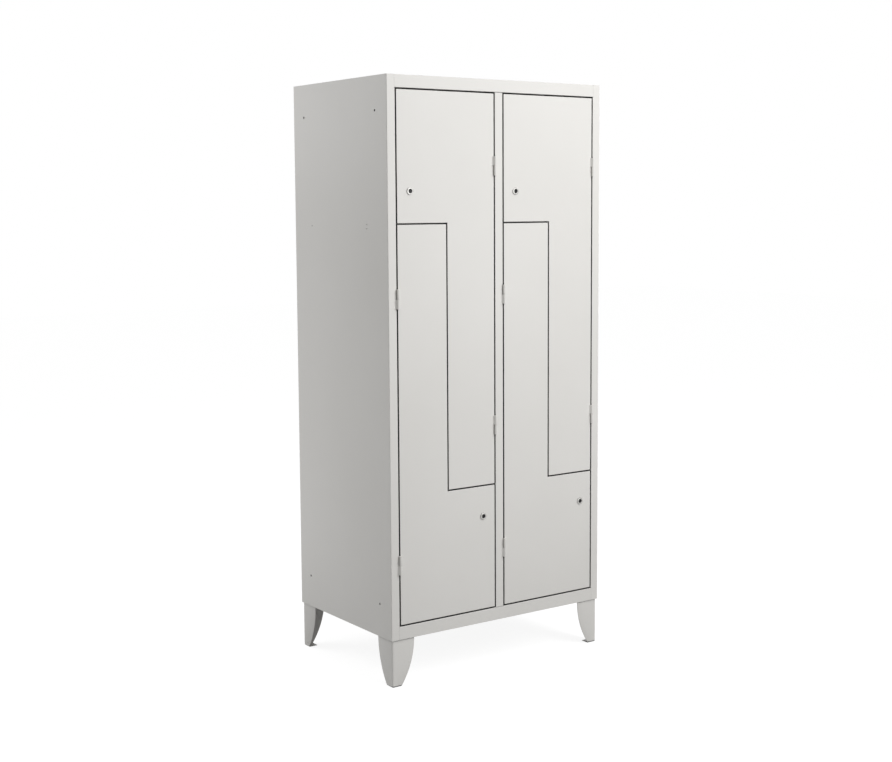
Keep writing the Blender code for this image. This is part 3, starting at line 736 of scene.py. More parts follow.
def effect(name, maker, **inputs):
    """An effect group, built once.

    It takes a place and the named inputs, and puts out a colour, a roughness and a
    height, which its maker works out.
    """
    if name in bpy.data.node_groups:
        return bpy.data.node_groups[name]
    group = bpy.data.node_groups.new(name, "ShaderNodeTree")
    add = group.interface.new_socket
    add(name="Place", in_out="INPUT", socket_type="NodeSocketVector")
    for key, value in inputs.items():
        kind = "NodeSocketFloat" if isinstance(value, float) else "NodeSocketColor"
        socket = add(name=key.replace("_", " "), in_out="INPUT", socket_type=kind)
        socket.default_value = value
    for label, kind in (("Colour", "Color"), ("Roughness", "Float"), ("Height", "Float")):
        add(name=label, in_out="OUTPUT", socket_type="NodeSocket" + kind)
    given, out = group.nodes.new("NodeGroupInput"), group.nodes.new("NodeGroupOutput")
    for socket, value in zip(out.inputs, maker(group, given.outputs)):
        group.links.new(value, socket)
    return group


def powder_surface(group, given):
    """Powder coat: clouded colour, orange peel and the slow waviness of thin sheet."""
    place = given["Place"]
    clouds = noise(group, place, 2.3, 4.0)
    specks = noise(group, place, 260.0, 2.0)
    peel = noise(group, place, given["Peel"], 1.5)
    wave = noise(group, place, given["Wave"], 1.0)
    share = ranged(group, blended(group, clouds, 0.8, specks, 0.2), 0.0, 1.0, 0.35, 0.65)
    return (mixed(group, share, given["Colour"], given["Shade"]),
            ranged(group, specks, 0.42, 0.54),
            blended(group, peel, 0.010, wave, 0.9))


def plated_surface(group, given):
    """Plated metal: grains, clouds of tint and fine drawn lines."""
    place = given["Place"]
    grains = node(group, "TexVoronoi", feature="SMOOTH_F1", Vector=place,
                  Scale=given["Grain"]).outputs["Distance"]
    clouds = noise(group, place, 120.0, 3.0)
    stretch = node(group, "Mapping", Vector=place, Scale=(1.0, 1.0, 0.04))
    drawn = noise(group, stretch.outputs["Vector"], 2600.0, 2.0)
    share = ranged(group, maths(group, "MULTIPLY", clouds, grains), 0.0, 1.0, 0.15, 0.45)
    return (mixed(group, share, given["Colour"], given["Shade"]),
            ranged(group, clouds, given["Lowest roughness"], given["Highest roughness"]),
            blended(group, grains, 0.5, drawn, 0.3))


def finish_of(name, group, metallic, bump, **values):
    """A material that runs an effect group on Object coordinates into one shader."""
    made = bpy.data.materials.new(name)
    made.use_nodes = True
    tree = made.node_tree
    shader = tree.nodes["Principled BSDF"].inputs
    place = node(tree, "TexCoord").outputs["Object"]
    surface = node(tree, "Group", node_tree=group, Place=place, **values).outputs
    relief = node(tree, "Bump", Strength=1.0, Distance=bump, Height=surface["Height"])
    for label, value in (("Metallic", metallic), ("Base Color", surface["Colour"]),
                         ("Roughness", surface["Roughness"]),
                         ("Normal", relief.outputs["Normal"])):
        feed(tree, value, shader[label])
    return made


def powder_coat(finish, name="light_grey_powder_coat", share=1.0):
    """The body's light grey powder coat, or a share of its colour for the painted shade in marks and
    holes.
    """
    if name in bpy.data.materials:
        return bpy.data.materials[name]
    group = effect("powder_coat_surface", powder_surface, Colour=(0.7, 0.7, 0.7, 1.0),
                   Shade=(0.6, 0.6, 0.6, 1.0), Peel=900.0, Wave=5.0)
    colour, shade = (tuple(share * part for part in given) + (1.0,)
                     for given in (finish.paint, finish.paint_shade))
    coat = finish_of(name, group, 0.0, 0.001, Colour=colour, Shade=shade)
    # Painted shade: the coat turns near black in the gaps and seams
    paint_gap_shade(coat.node_tree, finish)
    return coat


def paint_gap_shade(tree, finish):
    """Paint shade into a coat where another surface is near, as in the gaps round the doors.

    The share of open directions within the reach is mapped from the painted shade's colour to
    full coat. What lies in or before the plane of the doors' faces keeps its full coat,
    and so does all that lies behind the stiles' returns.
    """
    base = tree.nodes["Principled BSDF"].inputs["Base Color"]
    coat = base.links[0].from_socket
    near = node(tree, "AmbientOcclusion", Distance=finish.gap_shade_reach, samples=8)
    openness = ranged(tree, near.outputs["AO"], 0.0, 1.0, 0.66, 0.99, "SMOOTHSTEP")
    place = node(tree, "TexCoord").outputs["Object"]
    depth = node(tree, "SeparateXYZ", Vector=place).outputs["Y"]
    proud = ranged(tree, depth, 1.0, 0.0, FRONT + 0.0001, FRONT + 0.0004)
    behind = ranged(tree, depth, 0.0, 1.0, FRONT + 0.020, FRONT + 0.026)
    share = maths(tree, "MAXIMUM", openness, maths(tree, "MAXIMUM", proud, behind))
    feed(tree, mixed(tree, share, (*finish.gap_shade, 1.0), coat), base)


# Each plate's material, how metallic it is, its bump, its grain and its roughness
PLATES = {
    "zinc": ("passivated_zinc_plate", 1.0, 0.00004, 700.0, 0.28, 0.42),
    "chrome": ("satin_chrome_plate", 1.0, 0.00001, 240.0, 0.36, 0.50),
    # The black nickel and the keyway's near-black brass are partly painted shade
    "nickel": ("black_nickel_plate", 0.6, 0.00002, 500.0, 0.38, 0.55),
    "brass": ("oiled_keyway_brass", 0.4, 0.00003, 900.0, 0.45, 0.65),
}


def plate(finish, metal):
    """One of the plated finishes, in its colour from the settings."""
    name, metallic, bump, grain, lowest, highest = PLATES[metal]
    if name in bpy.data.materials:
        return bpy.data.materials[name]
    group = effect("plated_surface", plated_surface, Colour=(0.7, 0.7, 0.7, 1.0),
                   Shade=(0.6, 0.6, 0.6, 1.0), Grain=300.0, Lowest_roughness=0.2,
                   Highest_roughness=0.4)
    colour, tint = ((*getattr(finish, metal + part), 1.0) for part in ("", "_tint"))
    return finish_of(name, group, metallic, bump, Colour=colour, Shade=tint, Grain=grain,
                     Lowest_roughness=lowest, Highest_roughness=highest)


def shade_in_marks(piece, finish, holes):
    """Give a side's pressed marks a darker coat and the rims of its holes a near-black one, both as
    painted shade.

    A mark is what lies under the side's outer plane and off its inner one, away from the folds.
    """
    mesh = piece.data
    # Painted shade: a darker coat in the pressed dashes and weld dimples, a near-black one round the
    # holes
    mesh.materials.append(powder_coat(finish, "dusty_powder_coat", 0.42))
    mesh.materials.append(powder_coat(finish, "shadowed_powder_coat", 0.06))
    centres = np.zeros(3 * len(mesh.polygons), np.float32)
    mesh.polygons.foreach_get("center", centres)
    x, y, z = centres.reshape(-1, 3).T
    under = RIGHT - abs(x)
    marked = ((under > 0.00012) & (under < 0.0032) & (abs(under - 0.001) > 0.00002)
              & (y > FRONT + 0.03) & (y < BACK - 0.03))
    near_hole = np.any([np.hypot(y - at[0], z - at[1]) < 0.006 for at in holes], axis=0)
    slots = np.where(marked, np.where(near_hole, 2, 1), 0).astype(np.int32)
    mesh.polygons.foreach_set("material_index", slots)


# Pieces

def body_line(corners, sheet, side=1):
    """A folded line with the body's folds."""
    return FoldedLine(corners, sheet.fold_radius, sheet.thickness, sheet.fold_steps, sheet.border,
                      side)


def edge_section(sheet, fold_radius, *corners):
    """The folded edge that a pan carries round its outline, as inset and depth."""
    return FoldedLine([(fold_radius + sheet.border, 0.0), (0.0, 0.0), *corners], fold_radius,
                      sheet.thickness, sheet.fold_steps, sheet.border, -1)


class LOCKER_OT_side_panels(bpy.types.Operator):
    """Side walls folded round into the front stiles and the rear returns"""

    bl_idname = "locker.side_panels"
    bl_label = "Side panels"

    def execute(self, context):
        sheet, finish = context.scene.locker_sheet, context.scene.locker_finish
        deep = FRONT + sheet.stile_return
        stile = LEFT + SIDE_STILE
        line = body_line([(LEFT + FLANGE, BACK), (LEFT, BACK), (LEFT, FRONT), (stile, FRONT),
                          (stile, deep), (stile - sheet.lip, deep)], sheet)
        seam_x = stile - sheet.fold_radius
        inside_x = LEFT + sheet.fold_radius + FIT
        low_end, high_end = FLOOR + FIT, CEILING - FIT

        def keep(place):
            """All but the stile and its lip, beside the ends of the top's and the base's rail."""
            outside = (place[..., 2] < low_end) | (place[..., 2] > high_end)
            stile = abs(place[..., 0]) < abs(seam_x)
            lip = (abs(place[..., 0]) < abs(inside_x)) & (place[..., 1] > FRONT + 0.004)
            return ~(outside & (stile | lip) & (place[..., 1] < FRONT + 0.05))

        holes = [(y, z) for z in (BODY_BOTTOM + HOLE_FROM_END, HEIGHT - HOLE_FROM_END)
                 for y in (FRONT + HOLE_FROM_EDGE, BACK - HOLE_FROM_EDGE)]
        for name, mirror in SIDES.items():
            level = UPPER_LEVEL if name == "left" else LOWER_LEVEL
            mark = line.length_at((LEFT, FRONT + MARK_FROM_FRONT))
            spots = [round_hole(line.length_at((LEFT, y)), z, sheet.hole_radius, HOLE_DISH,
                                HOLE_DISH_WIDTH) for y, z in holes]
            spots += [pressed_dash(mark, level - drop, sheet) for drop in MARK_DROPS]
            spots += welds(line, [(LEFT, BACK - MARK_WELD_FROM_BACK)],
                           [level - sheet.shelf_flange / 2], sheet)
            spots += welds(line, [(LEFT + SEAM_FROM_EDGE, BACK)],
                           np.linspace(BODY_BOTTOM + 0.05, HEIGHT - 0.05, 9), sheet)
            shape = folded_sheet(line, BODY_BOTTOM, HEIGHT, sheet.thickness, spots,
                                 [line.length_at((seam_x, FRONT))], [low_end, high_end], keep,
                                 mirror=mirror)
            wall = new_piece(name + "_side_wall", shape, powder_coat(finish),
                             [name + "_side_panel"])
            shade_in_marks(wall, finish, holes)
        return {"FINISHED"}


class LOCKER_OT_rails_and_stile(bpy.types.Operator):
    """Top with its rail, base with its rail, and the centre stile"""

    bl_idname = "locker.rails_and_stile"
    bl_label = "Top, base and centre stile"

    def execute(self, context):
        sheet = context.scene.locker_sheet
        finish = powder_coat(context.scene.locker_finish)
        notch_x = abs(LEFT) - (SIDE_STILE - sheet.fold_radius) - FIT
        notch_y = FRONT + sheet.fold_radius + FIT
        deep = FRONT + sheet.stile_return

        def keep(place):
            """All but the notches at the front, where the side stiles' ends stand."""
            return (abs(place[..., 0]) < notch_x) | (place[..., 1] > notch_y)

        # For each rail its folded line and the levels at which the notches cut it
        rails = {
            "top": ([(INNER_BACK, HEIGHT - FLANGE), (INNER_BACK, HEIGHT), (FRONT, HEIGHT),
                     (FRONT, CEILING), (deep, CEILING), (deep, CEILING + sheet.lip)],
                    [HEIGHT, CEILING]),
            "base": ([(INNER_BACK, FLOOR - FLANGE), (INNER_BACK, FLOOR), (FRONT, FLOOR),
                      (FRONT, BODY_BOTTOM)],
                     [FLOOR]),
        }
        for name, (corners, levels) in rails.items():
            line = body_line(corners, sheet)
            middles = [(y, levels[0]) for y in np.linspace(FRONT + 0.06, BACK - 0.06, 4)]
            shape = folded_sheet(line, INNER_LEFT, -INNER_LEFT, sheet.thickness,
                                 welds(line, middles, [0.0], sheet),
                                 [line.length_at((notch_y, level)) for level in levels],
                                 [-notch_x, notch_x], keep, upright=False)
            new_piece(name + "_and_rail", shape, finish, [name + "_panel"])
        stile = body_line([(sheet.lip - CENTRE_HALF, deep), (-CENTRE_HALF, deep),
                           (-CENTRE_HALF, FRONT), (CENTRE_HALF, FRONT), (CENTRE_HALF, deep),
                           (CENTRE_HALF - sheet.lip, deep)], sheet)
        new_piece("middle_stile", folded_sheet(stile, FLOOR + FIT, CEILING - FIT, sheet.thickness),
                  finish, ["centre_stile"])
        return {"FINISHED"}


class LOCKER_OT_inner_walls(bpy.types.Operator):
    """Back, shelves and mid partitions"""

    bl_idname = "locker.inner_walls"
    bl_label = "Back and inner walls"

    def execute(self, context):
        sheet = context.scene.locker_sheet
        finish = powder_coat(context.scene.locker_finish)
        reach = RIGHT - sheet.fold_radius - FIT
        line = body_line([(reach, BACK_FACE), (-reach, BACK_FACE)], sheet, -1)
        spots = welds(line, [(0.0, BACK_FACE)], np.linspace(FLOOR + 0.08, HEIGHT - 0.08, 8), sheet)
        verts, faces = folded_sheet(line, BODY_BOTTOM, HEIGHT, sheet.thickness, spots)
        new_piece("back_sheet", (verts, flipped(faces, -1)), finish, ["back_panel"])
        for column in COLUMNS:
            web = corners_of(column + "_mid_partition")[0][0]
            wall_left = corners_of(column + "_upper_shelf")[0][0]
            wall_right = corners_of(column + "_lower_shelf")[1][0]
            self.shelf(column + "_upper", wall_left, web - FIT, UPPER_LEVEL, sheet, finish)
            self.shelf(column + "_lower", web, wall_right, LOWER_LEVEL, sheet, finish)
            edge = web + PARTITION_FLANGE
            fold = body_line([(edge, INNER_BACK), (web, INNER_BACK), (web, INNER_FRONT),
                              (edge, INNER_FRONT)], sheet)
            spots = welds(fold, [(web + 0.008, y) for y in (INNER_FRONT, INNER_BACK)],
                          np.linspace(LOWER_LEVEL + 0.06, UPPER_LEVEL - 0.06, 6), sheet)
            new_piece(column + "_partition",
                      folded_sheet(fold, LOWER_LEVEL + FIT, UPPER_LEVEL, sheet.thickness, spots),
                      finish, [column + "_mid_partition"])
        return {"FINISHED"}

    def shelf(self, name, left_end, right_end, level, sheet, finish):
        """A shelf folded down on its four sides."""
        outline = [(left_end, INNER_FRONT), (right_end, INNER_FRONT), (right_end, INNER_BACK),
                   (left_end, INNER_BACK)]

        def place(u, v, depth):
            return np.stack((u, v, level - depth), -1)

        section = edge_section(sheet, sheet.fold_radius, (0.0, sheet.shelf_flange))
        shape = pan(outline, section, sheet.thickness, 0.004, sheet.mitre_gap, place)
        new_piece(name + "_compartment_shelf", shape, finish, [name + "_shelf"])


class LOCKER_OT_coat_rails(bpy.types.Operator):
    """Bent round bars that hang from the top and from the upper shelves"""

    bl_idname = "locker.coat_rails"
    bl_label = "Coat rails"

    def execute(self, context):
        radius = context.scene.locker_fittings.rail_radius
        finish = plate(context.scene.locker_finish, "zinc")
        # The bar's ends widen where they are welded: how far below the end, and by how much
        drops = np.array([0.0, 0.0004, 0.0009, 0.0016, 0.0026])
        flare = np.array([0.0022, 0.0016, 0.0010, 0.0005, 0.0])
        angle = np.linspace(0, math.pi / 2, 13)
        for door in DOORS:
            low, high = corners_of(door + "_coat_rail")
            x0, x1 = low[0] + radius, high[0] - radius
            left = np.stack((x0 + RAIL_BEND - RAIL_BEND * np.cos(angle),
                             low[2] + radius + RAIL_BEND - RAIL_BEND * np.sin(angle)), 1)
            right = np.stack((x0 + x1 - left[::-1, 0], left[::-1, 1]), 1)
            start = np.stack((np.full(5, x0), high[2] - drops), 1)
            end = np.stack((np.full(5, x1), high[2] - drops[::-1]), 1)
            radii = radius + np.concatenate((flare, np.zeros(26), flare[::-1]))
            verts, faces = bent_bar(np.vstack((start, left, right, end)), radii)
            verts = verts + np.array((0.0, (low[1] + high[1]) / 2, 0.0))
            new_piece(door + "_hanging_rail", (verts, faces), finish, [door + "_coat_rail"])
        return {"FINISHED"}


class LOCKER_OT_legs(bpy.types.Operator):
    """Pressed legs with tapering curved flanges and a foot plate"""

    bl_idname = "locker.legs"
    bl_label = "Legs"

    def execute(self, context):
        sheet = context.scene.locker_sheet
        finish = powder_coat(context.scene.locker_finish)
        steps = (
            ("folds", "BEVEL", {"width": sheet.leg_fold, "segments": 8}),
            ("wall", "SOLIDIFY", {"thickness": sheet.leg_thickness, "offset": -1,
                                  "use_even_offset": True}),
            ("edges", "BEVEL", {"width": EASED_EDGE, "segments": 2}),
        )
        for end_name, end in (("front", -1), ("rear", 1)):
            for side_name, side in (("left", -1), ("right", 1)):
                leg = "_".join((end_name, side_name, "leg"))
                low, high = corners_of(leg)
                corner = np.array((low[0] if side < 0 else high[0], low[1] if end < 0 else high[1],
                                   0))
                verts, faces = self.flanges(sheet, high[2])
                shape = corner + verts * np.array((-side, -end, 1)), flipped(faces, side * end)
                piece = new_piece(leg.replace("leg", "pressed_leg"), shape, finish, [leg])
                for name, kind, settings in steps:
                    made = piece.modifiers.new(name, kind)
                    if kind == "BEVEL":
                        made.limit_method = "ANGLE"
                        made.angle_limit = math.radians(50)
                    for key, value in settings.items():
                        setattr(made, key, value)
        return {"FINISHED"}

    def flanges(self, sheet, top):
        """Both flanges and the foot.

        At each height the flange is as wide as the distance from the corner to a circle
        that runs from the foot's edge to an upright tangent.
        """
        tall = BODY_BOTTOM
        drop = sheet.leg_top - sheet.leg_foot
        radius = (tall ** 2 + drop ** 2) / (2 * drop)
        swing = math.asin(tall / radius) * np.linspace(1, 0, 25)
        heights = np.concatenate((tall - radius * np.sin(swing), [top]))
        heights[0] = 0.0
        below = np.maximum(tall - heights, 0)
        width = sheet.leg_top - (radius - np.sqrt(radius ** 2 - below ** 2))
        nothing = np.zeros_like(width)
        count = len(heights)
        verts = np.vstack((np.stack((nothing, nothing, heights), 1),
                           np.stack((width, nothing, heights), 1),
                           np.stack((nothing, width, heights), 1),
                           [(width[0], width[0], 0.0)]))
        row = np.arange(count - 1)
        along = np.stack((row, row + count, row + count + 1, row + 1), 1).tolist()
        across = np.stack((row + 2 * count, row, row + 1, row + 2 * count + 1), 1).tolist()
        return verts, along + across + [[0, 2 * count, 3 * count, count]]


class LOCKER_OT_door_panels(bpy.types.Operator):
    """Door pans in two interlocking L outlines, with their hat-section stiffeners"""

    bl_idname = "locker.door_panels"
    bl_label = "Door panels"

    def execute(self, context):
        sheet = context.scene.locker_sheet
        finish = powder_coat(context.scene.locker_finish)
        section = edge_section(sheet, sheet.door_fold_radius, (0.0, sheet.door_return),
                               (sheet.lip, sheet.door_return))

        def place(u, v, depth):
            return np.stack((u, FRONT + depth, v), -1)

        for door in DOORS:
            body = door + "_door"
            low, high = corners_of(door + "_lock_housing")
            lock = (low + high) / 2
            hole = round_hole(lock[0], lock[2], context.scene.locker_fittings.barrel_radius + FIT)
            shape = pan(self.outline(door, sheet), section, sheet.thickness,
                        sheet.door_return - sheet.door_fold_radius, sheet.mitre_gap, place, [hole])
            new_piece(door + "_door_pan", shape, finish, [door + "_door_panel"], body)
            low, high = corners_of(door + "_door_stiffener")
            (left, near), (right, far) = low[:2], high[:2] - (0.0, sheet.thickness)
            hat = body_line([(left, near), (left + HAT_FOOT, near), (left + HAT_FOOT, far),
                             (right - HAT_FOOT, far), (right - HAT_FOOT, near), (right, near)],
                            sheet)
            heights = np.linspace(low[2] + 0.05, high[2] - 0.05, 7)
            spots = [spot for x in (left + 0.005, right - 0.005)
                     for spot in welds(hat, [(x, near)], heights, sheet)]
            new_piece(door + "_hat_stiffener",
                      folded_sheet(hat, low[2], high[2], sheet.thickness, spots), finish,
                      [door + "_door_stiffener"], body)
        return {"FINISHED"}

    def outline(self, door, sheet):
        """The L-shaped outline of a door, as (x, z) points seen from the front."""
        column, level = door.split("_")
        left, right = COLUMNS[column]
        middle = (left + right) / 2
        gap, half = sheet.door_gap, sheet.door_gap / 2
        upper_line = UPPER_LEVEL - sheet.thickness / 2
        lower_line = LOWER_LEVEL - sheet.thickness / 2
        if level == "upper":
            return [(left + gap, upper_line + half), (middle + half, upper_line + half),
                    (middle + half, lower_line + half), (right - gap, lower_line + half),
                    (right - gap, CEILING - gap), (left + gap, CEILING - gap)]
        return [(left + gap, FLOOR + gap), (right - gap, FLOOR + gap),
                (right - gap, lower_line - half), (middle - half, lower_line - half),
                (middle - half, upper_line - half), (left + gap, upper_line - half)]


class LOCKER_OT_hinges(bpy.types.Operator):
    """Turned lift-off hinges: the pin's half on the frame, the socket on the door"""

    bl_idname = "locker.hinges"
    bl_label = "Hinges"

    def execute(self, context):
        fittings = context.scene.locker_fittings
        finish = powder_coat(context.scene.locker_finish)
        radius = fittings.knuckle_radius
        for door, place in ((door, place) for door in DOORS for place in ("top", "bottom")):
            carrier = 1 if door.endswith("upper") else -1
            door_node = door + "_door_hinge_" + place
            low, high = corners_of(door_node)
            middle = low[2] - FIT
            top = high[2] - middle
            x = (high[0] - radius) if carrier > 0 else (low[0] + radius)
            axis = np.array((x, low[1] + radius, middle))
            frame_profile, door_profile = self.profiles(fittings, top)
            halves = (
                (door + "_frame_hinge_" + place, "cabinet", frame_profile, carrier, -top, -FIT),
                (door_node, door + "_door", door_profile, -carrier, FIT, top),
            )
            for name, body, profile, side, low_end, high_end in halves:
                verts, faces = turned(profile, fittings.turned_steps)
                face = x + side * (0.00175 - FIT)
                near, far = sorted((face, face - side * LEAF_THICKNESS))
                flag = rounded_box((near, axis[1] + 0.0035, middle + low_end + 0.0016),
                                   (far, FRONT + LEAF_REACH, middle + high_end - 0.0016),
                                   EASED_EDGE)
                saddle = prism(self.saddle(radius, side) + axis[:2],
                               middle + low_end + 0.0012, middle + high_end - 0.0006)
                new_piece(name.replace("_hinge_", "_turned_hinge_"),
                          stacked((verts + axis, faces), flag, saddle), finish, [name], body)
        return {"FINISHED"}

    def profiles(self, fittings, top):
        """The turned halves: a barrel with its pin on top, and a barrel with its socket."""
        radius, pin = fittings.knuckle_radius, fittings.pin_radius
        sleeve = pin + SLEEVE_PLAY
        lower = rounded([(pin, -FIT), (radius, -FIT), (radius, -top), (0.0, -top)],
                        fittings.knuckle_round, 5)
        peg = rounded([(0.0, top - 0.0034), (pin, top - 0.0034), (pin, -FIT)], 0.0004, 3)
        upper = rounded([(0.0, top), (radius, top), (radius, FIT), (sleeve, FIT)],
                        fittings.knuckle_round, 5)
        socket = [(sleeve, top - 0.003), (0.0, top - 0.003)]
        return np.vstack((peg, lower[1:])), np.vstack((upper, socket))

    def saddle(self, radius, side):
        """The leaf's rolled edge beside a barrel, seen from above, round the barrel's axis.

        A quadratic curve leaves the barrel along its tangent and ends along the flat behind.
        """
        lean = math.radians(20)
        behind = radius + FIT - 0.00005
        start = radius * np.array((math.cos(lean), -math.sin(lean)))
        bend = start + np.array((math.tan(lean), 1.0)) * (behind - start[1])
        rolled = curve(start, bend, np.array((2 * radius, behind)), 12)
        return np.vstack((rolled, [(0.0019, behind), (0.0022, 0.0030)])) * (side, 1)


class LOCKER_OT_locks(bpy.types.Operator):
    """Cam locks: chromed head and threaded barrel, plug with its keyhole, nut and cam screw"""

    bl_idname = "locker.locks"
    bl_label = "Locks"

    def execute(self, context):
        fittings, finish = context.scene.locker_fittings, context.scene.locker_finish
        zinc, chrome, brass, nickel = (plate(finish, metal)
                                       for metal in ("zinc", "chrome", "brass", "nickel"))
        for door in DOORS:
            low, high = corners_of(door + "_lock_housing")
            axis = np.array(((low[0] + high[0]) / 2, FRONT, (low[2] + high[2]) / 2))
            door_body, lock_body = door + "_door", door + "_lock"
            new_piece(door + "_lock_head", facing_front(self.housing(fittings), axis), chrome,
                      [door + "_lock_housing"], door_body)
            new_piece(door + "_lock_nut", facing_front(self.nut(fittings), axis), zinc, (),
                      door_body)
            plug = new_piece(door + "_keyhole_plug", self.plug(fittings, axis), chrome,
                             [door + "_lock_plug"], lock_body)
            # Keyway and dish floor: dark finishes that are partly painted shade
            plug.data.materials.append(brass)
            plug.data.materials.append(nickel)
            self.finish_face(plug, fittings, axis)
            new_piece(door + "_cam_screw", facing_front(self.screw(), axis), zinc, (), lock_body)
        return {"FINISHED"}

    def housing(self, fittings):
        """The head's dome and groove, and a barrel with two flats and a thread.

        The thread's depth is a triangle wave of the height over the pitch less the
        turn, and fades out at both ends.
        """
        head = FIT + fittings.head_height
        outer, barrel, pitch = fittings.head_radius, fittings.barrel_radius, fittings.thread_pitch
        dome = rounded([(BORE, head - 0.0004), (BORE + 0.0006, head),
                        (outer - 0.0010, head - 0.0002), (outer, head - 0.0014), (outer, FIT),
                        (barrel - 0.0006, FIT)], 0.0008, 4)
        heights = np.linspace(0.0002, 0.0006 - BARREL_LENGTH, 96)
        thread = np.stack((np.full_like(heights, barrel), heights), 1)
        tail = [(barrel - BARREL_FLAT, -BARREL_LENGTH), (BORE, -BARREL_LENGTH),
                (BORE, 0.004 - BARREL_LENGTH), (BORE, head - 0.0004)]

        def cut_thread(radius, angle, height):
            wave = abs(((height / pitch - angle / math.tau) % 1.0) - 0.5) * 2
            fade = (np.clip((-height - 0.0016) / 0.0008, 0, 1)
                    * np.clip((height + BARREL_LENGTH) / 0.001, 0, 1))
            threaded = radius - 0.0006 * wave * fade
            flat = (barrel - BARREL_FLAT) / np.maximum(abs(np.cos(angle)), 1e-6)
            on_barrel = (radius > BORE + 0.001) & (radius <= barrel) & (height < 0.0002)
            return np.where(on_barrel, np.minimum(threaded, flat), radius)

        return turned(np.vstack((dome, thread, tail)), fittings.turned_steps * 2, cut_thread)

    def nut(self, fittings):
        """A hexagon nut: the hexagon's radius at each angle, cut back by a cone at both faces."""
        bore = fittings.barrel_radius + 0.0001

        def hexagon(radius, angle, height):
            sixth = math.tau / 6
            edge = NUT_HALF / np.cos((angle + sixth / 2) % sixth - sixth / 2)
            cone = NUT_HALF * 1.06 + 1.9 * np.minimum(NUT_FRONT - height, height - NUT_BACK)
            return np.where(radius > bore + 0.002, np.minimum(edge, cone), radius)

        rim = [(NUT_HALF, height) for height in np.linspace(NUT_FRONT, NUT_BACK, 15)]
        return turned([(bore, NUT_FRONT), (NUT_HALF, NUT_FRONT), *rim, (NUT_HALF, NUT_BACK),
                       (bore, NUT_BACK), (bore, NUT_FRONT)], 72, hexagon)

    def plug(self, fittings, axis):
        """The plug's turned face, dished round a keyhole cut through it, and a square stub."""
        front = FIT + fittings.head_height - PLUG_SET_BACK
        half_w, half_h = KEYHOLE_WIDTH / 2, KEYHOLE_HEIGHT / 2
        floor = front - fittings.plug_dish
        steps = fittings.turned_steps
        angle = RING_START + math.tau * np.arange(steps) / steps
        corners = np.array([(-half_w, -half_h), (half_w, -half_h), (half_w, half_h),
                            (-half_w, half_h)])
        profile = rounded([(half_h + 0.0004, floor), (PLUG_RADIUS - 0.0013, floor),
                           (PLUG_RADIUS - 0.0009, front), (PLUG_RADIUS, front),
                           (PLUG_RADIUS, -BARREL_LENGTH), (PLUG_RADIUS - 0.0004, -BARREL_LENGTH)],
                          0.0003, 3)
        verts = [np.column_stack((corners, np.full(4, height)))
                 for height in (floor, -KEYHOLE_DEPTH)]
        verts += [np.stack((radius * np.cos(angle), radius * np.sin(angle),
                            np.full(steps, height)), 1) for radius, height in profile]
        rings = 2 * len(corners) + np.arange(steps * len(profile)).reshape(-1, steps)
        quarter = steps // 4
        faces = []
        for k in range(4):
            after = (k + 1) % 4
            arc = np.take(rings[0], np.arange(k * quarter, (k + 1) * quarter + 1), mode="wrap")
            faces.append([after, k] + arc.tolist())
            faces.append([k, after, 4 + after, 4 + k])
        faces.append([4, 5, 6, 7])
        for outer, after in zip(rings, rings[1:]):
            faces += np.stack((outer, after, np.roll(after, -1), np.roll(outer, -1)), 1).tolist()
        faces.append(rings[-1, ::-1].tolist())
        back = axis + np.array((0.0, BARREL_LENGTH, 0.0))
        stub = rounded_box(back - STUB_HALF, back + (STUB_HALF, STUB_LENGTH, STUB_HALF),
                           EASED_EDGE)
        return stacked(facing_front((np.vstack(verts), faces), axis), stub)

    def finish_face(self, plug, fittings, axis):
        """Give the faces inside the keyhole the near-black keyway brass and the dish's floor the
        black nickel, both partly painted shade.
        """
        floor = FRONT - FIT - fittings.head_height + PLUG_SET_BACK + fittings.plug_dish + 0.0001
        for face in plug.data.polygons:
            away = face.center - Vector(axis)
            narrow = (abs(away.x) < KEYHOLE_WIDTH / 2 + 0.00015
                      and abs(away.z) < KEYHOLE_HEIGHT / 2 + 0.00015)
            if narrow and face.center.y > floor and away.y < KEYHOLE_DEPTH + 0.0005:
                face.material_index = 1
            elif face.center.y < floor:
                face.material_index = 2

    def screw(self):
        """A washer and a pan-head screw with a cross recess pressed into its dome.

        The dome's radius follows a quarter of an ellipse, and the recess deepens
        towards the middle line of each arm of the cross.
        """
        split = SCREW_SEAT - WASHER_HEIGHT
        washer = rounded([(0.0, SCREW_SEAT), (WASHER_RADIUS, SCREW_SEAT), (WASHER_RADIUS, split),
                          (0.0052, split)], 0.0002, 3)
        rise = np.linspace(0, 1, 9)
        dome = np.stack((SCREW_RADIUS * np.sqrt(np.clip(1 - (rise * 0.94) ** 2, 0, 1)),
                         split - 0.0004 - 0.0021 * rise), 1)
        skirt = [(SCREW_RADIUS, split), (SCREW_RADIUS, split - 0.0004)]
        face = [(share * dome[-1, 0], dome[-1, 1]) for share in np.linspace(1, 0, 8)[1:]]
        verts, faces = turned(np.vstack((washer, skirt, dome, face)), 64)
        on_face = verts[:, 2] < split - 0.0004
        arm, span = np.sort(abs(verts[:, :2]), axis=1).T
        recess = np.clip(1 - arm / 0.0006, 0, 1) * np.clip((0.0028 - span) / 0.0008, 0, 1)
        verts[:, 2] += np.where(on_face, 0.0016 * recess, 0)
        return verts, faces


class LOCKER_OT_carried_finishes(bpy.types.Operator):
    """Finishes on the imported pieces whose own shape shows: the cams and the centre divider"""

    bl_idname = "locker.carried_finishes"
    bl_label = "Finishes on packed pieces"

    def execute(self, context):
        finish = context.scene.locker_finish
        given = {door + "_lock_cam": plate(finish, "zinc") for door in DOORS}
        given["centre_divider"] = powder_coat(finish)
        for name, material in given.items():
            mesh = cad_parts[name].data
            if not mesh.materials:
                mesh.materials.append(material)
            for k in range(len(mesh.materials)):
                mesh.materials[k] = material
        return {"FINISHED"}


